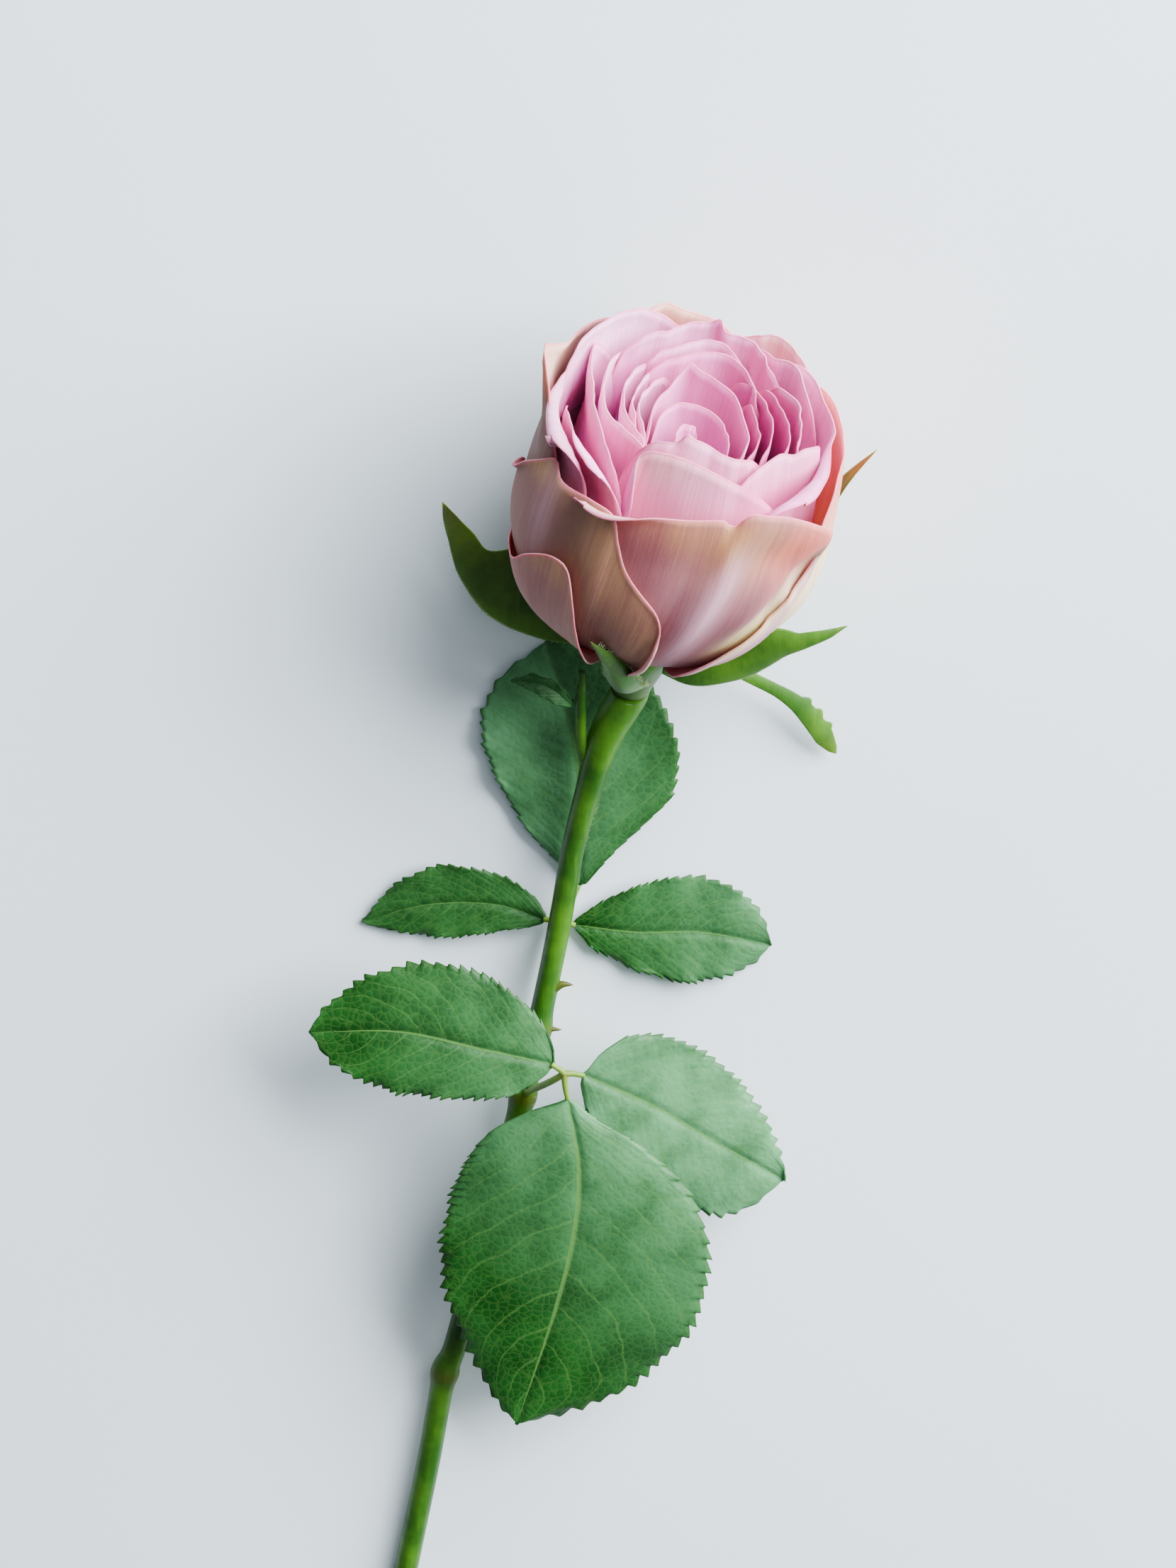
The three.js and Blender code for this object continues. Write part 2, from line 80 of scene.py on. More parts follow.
class Mask(Enum):
    """Named patches of tone that a petal carries as point attributes: its own colours, and painted shade,
    highlight and glow.
    """

    ANTIQUE = "antique"
    # salmon orange, partly the outer petals' own colour, partly painted glow where light shines through
    # them
    SALMON_AND_GLOW = "salmon_and_glow"
    # dark brown, partly the petals' own browning, partly painted shade on faces turned from the light and
    # in grooves
    BROWN_AND_SHADE = "brown_and_shade"
    # painted highlight on ridges and rims that face the light, and in places the petals' own paler strips
    PALE_AND_HIGHLIGHT = "pale_and_highlight"
    # painted shade: deeper magenta on petals turned from the light and just below the rims of the petals
    # around them
    DEEP_SHADE = "tinge"
    CREAM = "cream"


# ---------------------------------------------------------------------------------------------
# Curves and arrays
# ---------------------------------------------------------------------------------------------


def smooth_step(low: float, high: float, value: np.ndarray) -> np.ndarray:
    """Cubic rise from 0 at low to 1 at high."""
    t = np.clip((value - low) / (high - low), 0.0, 1.0)
    return t * t * (3.0 - 2.0 * t)


def unit_rows(rows: np.ndarray) -> np.ndarray:
    """Rows scaled to length one."""
    length = np.linalg.norm(rows, axis=-1, keepdims=True)
    return rows / np.maximum(length, 1e-12)


def spline(points: Sequence[Sequence[float]], count: int, spread: np.ndarray | None = None) -> np.ndarray:
    """Catmull-Rom curve through points, evenly spaced by length.

    Args:
        points: control points, any number of columns; the first columns in spread give the length.
        count: number of samples.
        spread: weights of the columns when measuring length, or None for all ones.

    Returns:
        Array of count rows.
    """
    control = np.array(points, float)
    weights = np.ones(control.shape[1]) if spread is None else spread
    ends = np.vstack([2 * control[0] - control[1], control, 2 * control[-1] - control[-2]])
    dense = []
    for i in range(len(control) - 1):
        a, b, c, d = ends[i : i + 4]
        for t in np.linspace(0.0, 1.0, 24, endpoint=False):
            curve = 2 * b + (c - a) * t + (2 * a - 5 * b + 4 * c - d) * t**2
            dense.append(0.5 * (curve + (3 * b - a - 3 * c + d) * t**3))
    dense.append(control[-1])
    line = np.array(dense)
    steps = np.linalg.norm(np.diff(line * weights, axis=0), axis=1)
    run = np.concatenate([[0.0], np.cumsum(steps)])
    wanted = np.linspace(0.0, run[-1], count)
    return np.stack([np.interp(wanted, run, line[:, k]) for k in range(line.shape[1])], axis=1)


@dataclass(frozen=True)
class PlantFrame:
    """Places bloom and stem measures, in millimetres, in the part frame."""

    seat: np.ndarray
    axis: np.ndarray
    side: np.ndarray
    under: np.ndarray

    @staticmethod
    def from_cad() -> "PlantFrame":
        """The frame seated on the CAD hip."""
        low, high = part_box("hip")
        seat = (low + high) / 2 + HIP_TO_ATTACH * MM
        return PlantFrame(
            np.array(seat) / MM,
            np.array(BLOOM_AXIS),
            np.array(BLOOM_SIDE),
            np.array(BLOOM_UNDER),
        )

    def bloom(self, radius: np.ndarray, turn: np.ndarray, height: np.ndarray) -> np.ndarray:
        """Points on the bloom.

        Args:
            radius: millimetres from the bloom's axis.
            turn: radians about the axis, 0 uppermost and rising towards +X.
            height: millimetres along the axis from the seat.

        Returns:
            Array with a last axis of three, in millimetres.
        """
        radius, turn, height = np.broadcast_arrays(radius, turn, height)
        out = radius * np.sin(turn)
        back = -radius * np.cos(turn)
        return (
            self.seat
            + height[..., None] * self.axis
            + out[..., None] * self.side
            + back[..., None] * self.under
        )

    def table(self, points: Sequence[Sequence[float]]) -> np.ndarray:
        """Points given from the table mark below the seat, with heights above the table."""
        return np.array(points, float) + self.seat - np.array((0.0, 0.0, SEAT_HEIGHT))


# ---------------------------------------------------------------------------------------------
# Mesh building
# ---------------------------------------------------------------------------------------------


class MeshMaker:
    """Builds one mesh object from bmesh operators and records its point attributes."""

    def __init__(self, name: str) -> None:
        """Starts an empty mesh with that name."""
        self.name = name
        self.bm = bmesh.new()
        self.layers: dict[str, object] = {}

    def layer(self, name: str) -> object:
        """The float layer with that name, made on first use."""
        if name not in self.layers:
            self.layers[name] = self.bm.verts.layers.float.new(name)
        return self.layers[name]

    def grid(self, points: np.ndarray, masks: dict[str, np.ndarray], material: int = 0) -> list:
        """Lays a grid and moves its vertices onto points.

        Args:
            points: rows by columns by three, in millimetres.
            masks: values for point attributes, rows by columns.
            material: material index of the faces.

        Returns:
            The new vertices.
        """
        rows, columns = points.shape[:2]
        layers = {key: self.layer(key) for key in masks}
        made = bmesh.ops.create_grid(self.bm, x_segments=columns - 1, y_segments=rows - 1, size=1.0)
        verts = made["verts"]
        for vert in verts:
            i = round((vert.co.y + 1.0) / 2.0 * (rows - 1))
            j = round((vert.co.x + 1.0) / 2.0 * (columns - 1))
            vert.co = Vector(points[i, j] * MM)
            for key, values in masks.items():
                vert[layers[key]] = float(values[i, j])
        for face in {f for v in verts for f in v.link_faces}:
            face.material_index = material
            face.smooth = True
        return verts

    def tube(
        self,
        path: np.ndarray,
        radii: np.ndarray,
        sides: int,
        masks: dict[str, np.ndarray] | None = None,
        ridges: Callable[[float, float], float] | None = None,
    ) -> list:
        """Sweeps a capped round tube along a path.

        Args:
            path: centre points in millimetres.
            radii: radius at each point in millimetres.
            sides: number of sides.
            masks: values for point attributes, one per path point.
            ridges: factor on the radius from (turn, share along), or None.

        Returns:
            The new vertices.
        """
        masks = masks or {}
        layers = {key: self.layer(key) for key in masks}
        along = unit_rows(np.gradient(path, axis=0))
        across = unit_rows(np.cross(along, UP + np.array((0.013, 0.021, 0.0))))
        ring = bmesh.ops.create_circle(self.bm, cap_ends=True, segments=sides, radius=1.0)["verts"]
        every = list(ring)
        share = np.linspace(0.0, 1.0, len(path))
        edges = list({e for v in ring for e in v.link_edges})
        for i, centre in enumerate(path):
            if i:
                made = bmesh.ops.extrude_edge_only(self.bm, edges=edges)["geom"]
                fresh = [g for g in made if isinstance(g, bmesh.types.BMVert)]
                edges = [g for g in made if isinstance(g, bmesh.types.BMEdge)]
                edges = [e for e in edges if all(v in set(fresh) for v in e.verts)]
                ring = self._in_step(ring, fresh)
                every += ring
            other = np.cross(across[i], along[i])
            for k, vert in enumerate(ring):
                turn = 2 * math.pi * k / sides
                size = radii[i] * (ridges(turn, share[i]) if ridges else 1.0)
                spot = centre + size * (math.cos(turn) * across[i] + math.sin(turn) * other)
                vert.co = Vector(spot * MM)
                for key, values in masks.items():
                    vert[layers[key]] = float(values[i])
        bmesh.ops.contextual_create(self.bm, geom=edges)
        for face in {f for v in every for f in v.link_faces}:
            face.smooth = len(face.verts) == 4
        return every

    def hair(self, root: np.ndarray, lean: np.ndarray, length: float, radius: float, sink: float) -> None:
        """Stands one short tapering hair on the mesh, in the second material.

        Args:
            root: where it grows, in millimetres.
            lean: unit vector along it.
            length: its length in millimetres.
            radius: its radius at the root in millimetres.
            sink: share of its length from the root to its middle.
        """
        layer = self.layer("along")
        made = bmesh.ops.create_cone(
            self.bm, cap_ends=True, segments=3, radius1=radius * MM, radius2=HAIR_TIP * MM,
            depth=length * MM
        )["verts"]
        turn = Vector((0, 0, 1)).rotation_difference(Vector(lean))
        spot = Vector((root + lean * length * sink) * MM)
        bmesh.ops.transform(self.bm, matrix=Matrix.Translation(spot) @ turn.to_matrix().to_4x4(),
            verts=made)
        for vert in made:
            vert[layer] = 0.0
        for face in {f for v in made for f in v.link_faces}:
            face.material_index = 1

    @staticmethod
    def _in_step(ring: list, fresh: list) -> list:
        """The fresh ring's vertices in the order of the ring they were drawn from."""
        waiting = set(fresh)
        return [next(e.other_vert(v) for e in v.link_edges if e.other_vert(v) in waiting) for v in ring]

    def seal(self) -> None:
        """Merges the doubles of one closed shell and turns its faces outward, going by its volume."""
        bmesh.ops.remove_doubles(self.bm, verts=self.bm.verts, dist=WELD)
        bmesh.ops.recalc_face_normals(self.bm, faces=self.bm.faces)
        if self.bm.calc_volume(signed=True) < 0.0:
            bmesh.ops.reverse_faces(self.bm, faces=self.bm.faces)

    def finish(self, materials: Sequence[bpy.types.Material], outward: bool = True) -> bpy.types.Object:
        """Writes the mesh to a new object at the origin.

        Args:
            materials: one per material index.
            outward: recalculate the normals to point out of closed shapes.

        Returns:
            The object, linked to the scene.
        """
        bmesh.ops.remove_doubles(self.bm, verts=self.bm.verts, dist=WELD)
        if outward:
            bmesh.ops.recalc_face_normals(self.bm, faces=self.bm.faces)
        mesh = bpy.data.meshes.new(self.name)
        self.bm.to_mesh(mesh)
        self.bm.free()
        for material in materials:
            mesh.materials.append(material)
        made = bpy.data.objects.new(self.name, mesh)
        bpy.context.scene.collection.objects.link(made)
        return made


def dress(piece: bpy.types.Object, slot: Slot, *nodes: str) -> bpy.types.Object:
    """Binds a finished piece to the part.

    Args:
        piece: the finished object.
        slot: its material slot in the record; not used.
        nodes: CAD nodes that it stands for.

    Returns:
        The same object.
    """
    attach(piece, BODY)
    if nodes:
        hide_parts(*nodes)
    LOG.info("%s: %d faces", piece.name, len(piece.data.polygons))
    return piece


# ---------------------------------------------------------------------------------------------
# Shader building
# ---------------------------------------------------------------------------------------------

Colour = tuple[float, float, float]


class Graph:
    """Small helper that adds and links nodes in one tree."""

    def __init__(self, tree: bpy.types.NodeTree) -> None:
        """Works in that tree."""
        self.tree = tree

    def node(self, kind: str, **values: object) -> bpy.types.Node:
        """Adds a node; values set its properties."""
        made = self.tree.nodes.new(kind)
        for key, value in values.items():
            setattr(made, key, value)
        return made

    def put(self, target: object, value: object) -> None:
        """Links a socket, or sets a constant, on an input socket."""
        if isinstance(value, bpy.types.NodeSocket):
            self.tree.links.new(value, target)
        elif isinstance(value, tuple) and len(value) == 3 and target.type == "RGBA":
            target.default_value = (*value, 1.0)
        else:
            target.default_value = value

    def math(self, operation: str, a: object, b: object = 0.0, c: object = 0.0) -> bpy.types.NodeSocket:
        """One Math node's result."""
        made = self.node("ShaderNodeMath", operation=operation)
        for socket, value in zip(made.inputs, (a, b, c)):
            self.put(socket, value)
        return made.outputs[0]

    def mix(self, amount: object, a: object, b: object, blend: str = "MIX") -> bpy.types.NodeSocket:
        """Mixes two colours."""
        made = self.node("ShaderNodeMix", data_type="RGBA", blend_type=blend)
        self.put(made.inputs[0], amount)
        self.put(made.inputs[6], a)
        self.put(made.inputs[7], b)
        return made.outputs[2]

    def ramp(
        self, value: object, low: float, high: float, out_low: float = 0.0, out_high: float = 1.0
    ) -> bpy.types.NodeSocket:
        """Smooth clamped range mapping."""
        made = self.node("ShaderNodeMapRange", interpolation_type="SMOOTHSTEP")
        self.put(made.inputs["Value"], value)
        made.inputs["From Min"].default_value = low
        made.inputs["From Max"].default_value = high
        made.inputs["To Min"].default_value = out_low
        made.inputs["To Max"].default_value = out_high
        return made.outputs["Result"]

    def attribute(self, name: str) -> bpy.types.NodeSocket:
        """The value of a point attribute."""
        return self.node("ShaderNodeAttribute", attribute_name=name).outputs["Fac"]

    def place(self) -> bpy.types.NodeSocket:
        """Object coordinates."""
        return self.node("ShaderNodeTexCoord").outputs["Object"]

    def noise(
        self, vector: object, scale: float, detail: float = 2.0, roughness: float = 0.5
    ) -> bpy.types.NodeSocket:
        """Noise value at that scale."""
        made = self.node("ShaderNodeTexNoise")
        self.put(made.inputs["Vector"], vector)
        made.inputs["Scale"].default_value = scale
        made.inputs["Detail"].default_value = detail
        made.inputs["Roughness"].default_value = roughness
        return made.outputs["Fac"]

    def combine(self, x: object, y: object, z: object) -> bpy.types.NodeSocket:
        """A vector from three values."""
        made = self.node("ShaderNodeCombineXYZ")
        for socket, value in zip(made.inputs, (x, y, z)):
            self.put(socket, value)
        return made.outputs[0]

    def bump(
        self, shader: bpy.types.Node, height: bpy.types.NodeSocket, strength: float, depth: float
    ) -> None:
        """Gives a shader fine relief, depth in metres."""
        made = self.node("ShaderNodeBump")
        made.inputs["Strength"].default_value = strength
        made.inputs["Distance"].default_value = depth
        self.put(made.inputs["Height"], height)
        self.put(shader.inputs["Normal"], made.outputs["Normal"])

    def group(self, tree: bpy.types.NodeTree, **values: object) -> bpy.types.Node:
        """Uses a node group, with inputs by name."""
        made = self.node("ShaderNodeGroup", node_tree=tree)
        for key, value in values.items():
            self.put(made.inputs[key.replace("_", " ")], value)
        return made


def new_material(name: str) -> tuple[bpy.types.Material, Graph, bpy.types.Node]:
    """A material with nodes, its graph and its Principled shader."""
    material = bpy.data.materials.new(name)
    material.use_nodes = True
    return material, Graph(material.node_tree), material.node_tree.nodes["Principled BSDF"]


def new_group(
    name: str, inputs: dict[str, str], outputs: dict[str, str]
) -> tuple[bpy.types.NodeTree, bpy.types.Node, bpy.types.Node]:
    """Starts a node group.

    Args:
        name: name of the group.
        inputs: socket kinds by name.
        outputs: socket kinds by name.

    Returns:
        The tree, its input node and its output node.
    """
    tree = bpy.data.node_groups.new(name, "ShaderNodeTree")
    for label, kind in inputs.items():
        tree.interface.new_socket(name=label, in_out="INPUT", socket_type=kind)
    for label, kind in outputs.items():
        tree.interface.new_socket(name=label, in_out="OUTPUT", socket_type=kind)
    return tree, tree.nodes.new("NodeGroupInput"), tree.nodes.new("NodeGroupOutput")


SIDE_VEINS = 9.0  # pairs on a leaflet
VEIN_SWEEP = 0.34  # share of the leaflet that a side vein runs forward
VEIN_ARCH = 1.35  # how late a side vein turns forward
VEIN_SHIFT = 0.45  # step between the veins of the two sides

COLOUR, VALUE, VECTOR = "NodeSocketColor", "NodeSocketFloat", "NodeSocketVector"


def petal_pattern_group() -> bpy.types.NodeTree:
    """Fan veins, soft mottle and rim line shared by every petal finish."""
    tree, _, out = new_group("petal_pattern", {}, {"Veins": VALUE, "Mottle": VALUE, "Rim": VALUE,
        "Relief": VALUE})
    g = Graph(tree)
    across, along = g.attribute("across"), g.attribute("along")
    edge, seed = g.attribute("edge"), g.attribute("seed")
    fan = g.combine(g.math("MULTIPLY", across, 52.0), g.math("MULTIPLY", along, 2.4), seed)
    fine = g.noise(fan, 1.0, 4.0, 0.65)
    wide = g.combine(g.math("MULTIPLY", across, 8.0), g.math("MULTIPLY", along, 1.2), seed)
    broad = g.noise(wide, 1.0, 3.0, 0.6)
    g.put(out.inputs["Veins"], g.ramp(fine, 0.38, 0.66))
    blotch = g.noise(g.place(), 210.0, 3.0, 0.6)
    g.put(out.inputs["Mottle"], g.math("ADD", g.math("MULTIPLY", g.ramp(broad, 0.3, 0.7), 0.6),
        g.math("MULTIPLY", blotch, 0.4)))
    uneven = g.math("MULTIPLY_ADD", blotch, 0.7, 0.05)
    g.put(out.inputs["Rim"], g.math("LESS_THAN", edge, uneven))
    grain = g.noise(g.place(), 2600.0, 2.0, 0.5)
    g.put(out.inputs["Relief"], g.math("ADD", g.math("MULTIPLY", fine, 0.75),
        g.math("MULTIPLY", grain, 0.25)))
    return tree


@dataclass(frozen=True)
class PetalFinish:
    """Colours and sheen of one face of a petal."""

    name: str
    base: Colour
    # painted shade colour, used deep in the cup and on shaded petals
    depth_shade: Colour
    # pale: the mottle's lighter tone and the colour of the painted highlights
    pale: Colour
    vein: Colour
    rim: Colour = (0.62, 0.10, 0.20)
    antique: Colour = (0.56, 0.30, 0.13)
    # salmon orange, partly the petals' own colour, partly painted glow
    salmon_and_glow: Colour = (0.84, 0.21, 0.14)
    # dark brown, partly the petals' own browning, partly painted shade
    brown_and_shade: Colour = (0.13, 0.062, 0.045)
    cream: Colour = (0.80, 0.66, 0.32)
    glow: float = 0.42
    reach: float = 0.0012
    roughness: float = 0.62

    def build(self, pattern: bpy.types.NodeTree) -> bpy.types.Material:
        """The material, using the shared pattern group."""
        material, g, shader = new_material(self.name)
        marks = g.group(pattern)
        along = g.attribute("along")
        # Darker towards the petal's foot: painted shade deep in the cup.
        colour = g.mix(g.ramp(along, 0.05, 0.85, 0.85, 0.0), self.base, self.depth_shade)
        colour = g.mix(g.math("MULTIPLY", marks.outputs["Mottle"], 0.22), colour, self.pale)
        # Painted shade: deeper magenta on petals turned from the light and just below the rims of the
        # petals around them.
        colour = g.mix(g.math("MULTIPLY", g.attribute(Mask.DEEP_SHADE.value), 0.9), colour, self.depth_shade)
        # Dark brown: partly the petals' own browning, partly painted shade on faces turned from the light
        # and in grooves.
        colour = g.mix(g.attribute(Mask.BROWN_AND_SHADE.value), colour, self.brown_and_shade)
        # Salmon orange: partly the outer petals' own colour, partly painted glow where light shines through
        # them.
        colour = g.mix(g.attribute(Mask.SALMON_AND_GLOW.value), colour, self.salmon_and_glow)
        colour = g.mix(g.attribute(Mask.CREAM.value), colour, self.cream)
        patch = g.math("MULTIPLY", g.attribute(Mask.ANTIQUE.value),
            g.ramp(marks.outputs["Mottle"], 0.15, 0.6, 0.55, 1.0))
        colour = g.mix(patch, colour, self.antique)
        # Paler patches: painted highlights on ridges and rims that face the light, and in places the
        # petals' own paler strips.
        colour = g.mix(g.attribute(Mask.PALE_AND_HIGHLIGHT.value), colour, self.pale)
        colour = g.mix(g.math("MULTIPLY", marks.outputs["Veins"], 0.3), colour, self.vein)
        colour = g.mix(g.math("MULTIPLY", marks.outputs["Rim"], 0.55), colour, self.rim)
        g.put(shader.inputs["Base Color"], colour)
        shader.inputs["Roughness"].default_value = self.roughness
        shader.inputs["IOR"].default_value = 1.4
        shader.inputs["Subsurface Weight"].default_value = self.glow
        shader.inputs["Subsurface Radius"].default_value = (1.0, 0.42, 0.38)
        shader.inputs["Subsurface Scale"].default_value = self.reach
        shader.inputs["Specular IOR Level"].default_value = 0.22
        g.bump(shader, marks.outputs["Relief"], 0.5, 0.0002)
        return material


def leaf_pattern_group() -> bpy.types.NodeTree:
    """Midrib, arched side veins and fine net of a leaflet."""
    tree, source, out = new_group(
        "leaf_pattern", {"Pairs": VALUE}, {"Rib": VALUE, "Side": VALUE, "Net": VALUE, "Relief": VALUE,
            "Mottle": VALUE}
    )
    g = Graph(tree)
    across, along = g.attribute("across"), g.attribute("along")
    place = g.place()
    wander = g.math("MULTIPLY_ADD", g.noise(place, 120.0, 2.0), 0.06, -0.03)
    spread = g.math("ABSOLUTE", across)
    rib = g.math("SUBTRACT", 1.0, g.ramp(g.math("DIVIDE", spread,
        g.math("MULTIPLY_ADD", along, -0.022, 0.034)), 0.35, 1.0))
    g.put(out.inputs["Rib"], rib)
    sweep = g.math("MULTIPLY", g.math("POWER", spread, VEIN_ARCH), VEIN_SWEEP)
    flow = g.math("ADD", g.math("SUBTRACT", along, sweep), wander)
    shift = g.math("MULTIPLY", g.math("GREATER_THAN", across, 0.0), VEIN_SHIFT)
    phase = g.math("ADD", g.math("MULTIPLY", flow, source.outputs["Pairs"]), shift)
    beat = g.math("ABSOLUTE", g.math("SUBTRACT", g.math("FRACT", phase), 0.5))
    side = g.ramp(beat, 0.012, 0.055, 1.0, 0.0)
    faded = g.math("MULTIPLY", side, g.ramp(spread, 0.75, 1.0, 1.0, 0.25))
    g.put(out.inputs["Side"], faded)
    cells = g.node("ShaderNodeTexVoronoi", feature="DISTANCE_TO_EDGE")
    g.put(cells.inputs["Vector"], place)
    cells.inputs["Scale"].default_value = 620.0
    net = g.ramp(cells.outputs["Distance"], 0.0, 0.12, 1.0, 0.0)
    g.put(out.inputs["Net"], net)
    quilt = g.ramp(beat, 0.0, 0.4)
    pillow = g.ramp(cells.outputs["Distance"], 0.0, 0.35)
    relief = g.math("ADD", g.math("MULTIPLY", quilt, 0.6), g.math("MULTIPLY", pillow, 0.3))
    g.put(out.inputs["Relief"], g.math("ADD", relief, g.math("MULTIPLY", g.noise(place, 900.0, 3.0), 0.15)))
    g.put(out.inputs["Mottle"], g.noise(place, 95.0, 4.0, 0.6))
    return tree


@dataclass(frozen=True)
class LeafFinish:
    """Colours of leaflets seen from above."""

    name: str = "leaf_blade"
    base: Colour = (0.002, 0.035, 0.002)
    light: Colour = (0.008, 0.072, 0.008)
    # painted sheen: pale bluish green where the leaf would reflect the light
    painted_sheen: Colour = (0.09, 0.27, 0.12)
    vein: Colour = (0.085, 0.21, 0.045)
    edge: Colour = (0.012, 0.05, 0.006)

    def build(self, pattern: bpy.types.NodeTree) -> bpy.types.Material:
        """The material, using the shared pattern group."""
        material, g, shader = new_material(self.name)
        marks = g.group(pattern, Pairs=SIDE_VEINS)
        colour = g.mix(g.ramp(marks.outputs["Mottle"], 0.3, 0.7), self.base, self.light)
        # Painted sheen, laid where its mask is set and broken up by the mottle.
        sheen_share = g.math("MULTIPLY", g.attribute("painted_sheen"),
            g.ramp(marks.outputs["Mottle"], 0.25, 0.65, 0.45, 1.0))
        colour = g.mix(sheen_share, colour, self.painted_sheen)
        colour = g.mix(g.ramp(g.math("ABSOLUTE", g.attribute("across")), 0.95, 1.0, 0.0, 0.5), colour,
            self.edge)
        colour = g.mix(g.math("MULTIPLY", marks.outputs["Net"], 0.16), colour, self.vein)
        colour = g.mix(g.math("MULTIPLY", marks.outputs["Side"], 0.26), colour, self.vein)
        colour = g.mix(g.math("MULTIPLY", marks.outputs["Rib"], 0.75), colour, self.vein)
        g.put(shader.inputs["Base Color"], colour)
        g.put(shader.inputs["Roughness"], g.ramp(marks.outputs["Mottle"], 0.2, 0.8, 0.42, 0.52))
        shader.inputs["Specular IOR Level"].default_value = 0.17
        shader.inputs["Subsurface Weight"].default_value = 0.12
        shader.inputs["Subsurface Radius"].default_value = (0.5, 1.0, 0.2)
        shader.inputs["Subsurface Scale"].default_value = 0.0008
        g.bump(shader, marks.outputs["Relief"], 0.4, 0.00028)
        return material


@dataclass(frozen=True)
class GreenFinish:
    """Colours of stems, stalks, hip and sepals: streaked green that may redden."""

    name: str
    base: Colour
    light: Colour
    tinge: Colour
    streak: float = 0.5
    roughness: float = 0.42
    grain: float = 900.0
    fuzz: float = 0.0

    def build(self) -> bpy.types.Material:
        """The material."""
        material, g, shader = new_material(self.name)
        along = g.attribute("along")
        place = g.place()
        stretched = g.node("ShaderNodeMapping")
        g.put(stretched.inputs["Vector"], place)
        stretched.inputs["Scale"].default_value = (1.0, 0.09, 1.0)
        lines = g.noise(stretched.outputs["Vector"], 700.0, 3.0, 0.6)
        mottle = g.noise(place, 75.0, 4.0, 0.6)
        colour = g.mix(g.ramp(mottle, 0.35, 0.7), self.base, self.light)
        colour = g.mix(g.math("MULTIPLY", g.ramp(lines, 0.5, 0.75), self.streak), colour, self.light)
        colour = g.mix(g.math("MULTIPLY", g.ramp(along, 0.0, 1.0), g.ramp(mottle, 0.2, 0.8, 0.4, 1.0)),
            colour, self.tinge)
        g.put(shader.inputs["Base Color"], colour)
        shader.inputs["Roughness"].default_value = self.roughness
        shader.inputs["Subsurface Weight"].default_value = 0.15
        shader.inputs["Subsurface Radius"].default_value = (0.6, 1.0, 0.2)
        shader.inputs["Subsurface Scale"].default_value = 0.0009
        shader.inputs["Sheen Weight"].default_value = self.fuzz
        shader.inputs["Specular IOR Level"].default_value = 0.3
        grain = g.math("MULTIPLY", g.noise(place, self.grain, 2.0), 0.5)
        g.bump(shader, g.math("ADD", lines, grain), 0.3, 0.0003)
        return material


class Wardrobe:
    """Every finish of the rose, built once."""

    def __init__(self) -> None:
        """Builds the groups and materials."""
        petals = petal_pattern_group()
        leaves = leaf_pattern_group()
        self.guard_out = PetalFinish(
            "guard_outside", (0.34, 0.12, 0.145), (0.28, 0.12, 0.14), (0.64, 0.36, 0.46),
            (0.25, 0.07, 0.10), roughness=0.66
        ).build(petals)
        self.guard_in = PetalFinish(
            "guard_inside", (0.76, 0.36, 0.42), (0.40, 0.04, 0.10), (0.88, 0.66, 0.68), (0.60, 0.20, 0.32),
            antique=(0.82, 0.58, 0.40), salmon_and_glow=(0.86, 0.40, 0.26)
        ).build(petals)
        self.inner_out = PetalFinish(
            "inner_outside", (0.76, 0.20, 0.40), (0.60, 0.06, 0.27), (0.90, 0.52, 0.74), (0.62, 0.10, 0.32),
            antique=(0.78, 0.46, 0.33), glow=0.3, reach=0.0006
        ).build(petals)
        self.inner_in = PetalFinish(
            "inner_inside", (0.76, 0.19, 0.50), (0.34, 0.02, 0.17), (0.93, 0.58, 0.84), (0.62, 0.09, 0.38),
            antique=(0.84, 0.60, 0.46), glow=0.25, reach=0.0006
        ).build(petals)
        self.leaf = LeafFinish().build(leaves)
        self.stem = GreenFinish("stem_skin", (0.009, 0.055, 0.001), (0.04, 0.13, 0.003),
            (0.07, 0.03, 0.006)).build()
        self.hip = GreenFinish("hip_skin", (0.015, 0.07, 0.004), (0.045, 0.14, 0.008), (0.10, 0.05, 0.015),
            fuzz=0.05).build()
        self.sepal = GreenFinish(
            "sepal_blade", (0.018, 0.085, 0.003), (0.055, 0.165, 0.006), (0.26, 0.11, 0.02), roughness=0.5,
            fuzz=0.04
        ).build()
        self.wool = GreenFinish("sepal_wool", (0.24, 0.34, 0.14), (0.38, 0.46, 0.24), (0.3, 0.2, 0.1),
            roughness=0.7).build()
        self.stalk = GreenFinish("leaf_stalk_skin", (0.09, 0.20, 0.012), (0.17, 0.29, 0.03),
            (0.22, 0.10, 0.03)).build()


# ---------------------------------------------------------------------------------------------
# Petals
# ---------------------------------------------------------------------------------------------


def cup_shape(height: np.ndarray, foot: float) -> np.ndarray:
    """Share of a petal's girth at each height.

    Args:
        height: millimetres along the bloom.
        foot: height at which the petal closes on the axis.

    Returns:
        Shares from 0 to 1.
    """
    above = height - WIDEST
    upper = 1.0 - CLOSING * (above / CLOSING_RUN) ** 2
    lower = np.sqrt(np.clip(1.0 - (above / (WIDEST - foot)) ** 2, 0.0, 1.0)) ** FULLNESS
    return np.where(above >= 0.0, upper, lower)


@dataclass(frozen=True)
class Patch:
    """A soft patch of tone on a petal."""

    mask: Mask
    turn: float
    height: float
    wide: float
    tall: float
    strength: float = 1.0
    tilt: float = 0.0


@dataclass(frozen=True)
class Swell:
    """A soft bulge, or a hollow when lift is negative, on a petal."""

    turn: float
    height: float
    wide: float
    tall: float
    lift: float
    tilt: float = 0.0


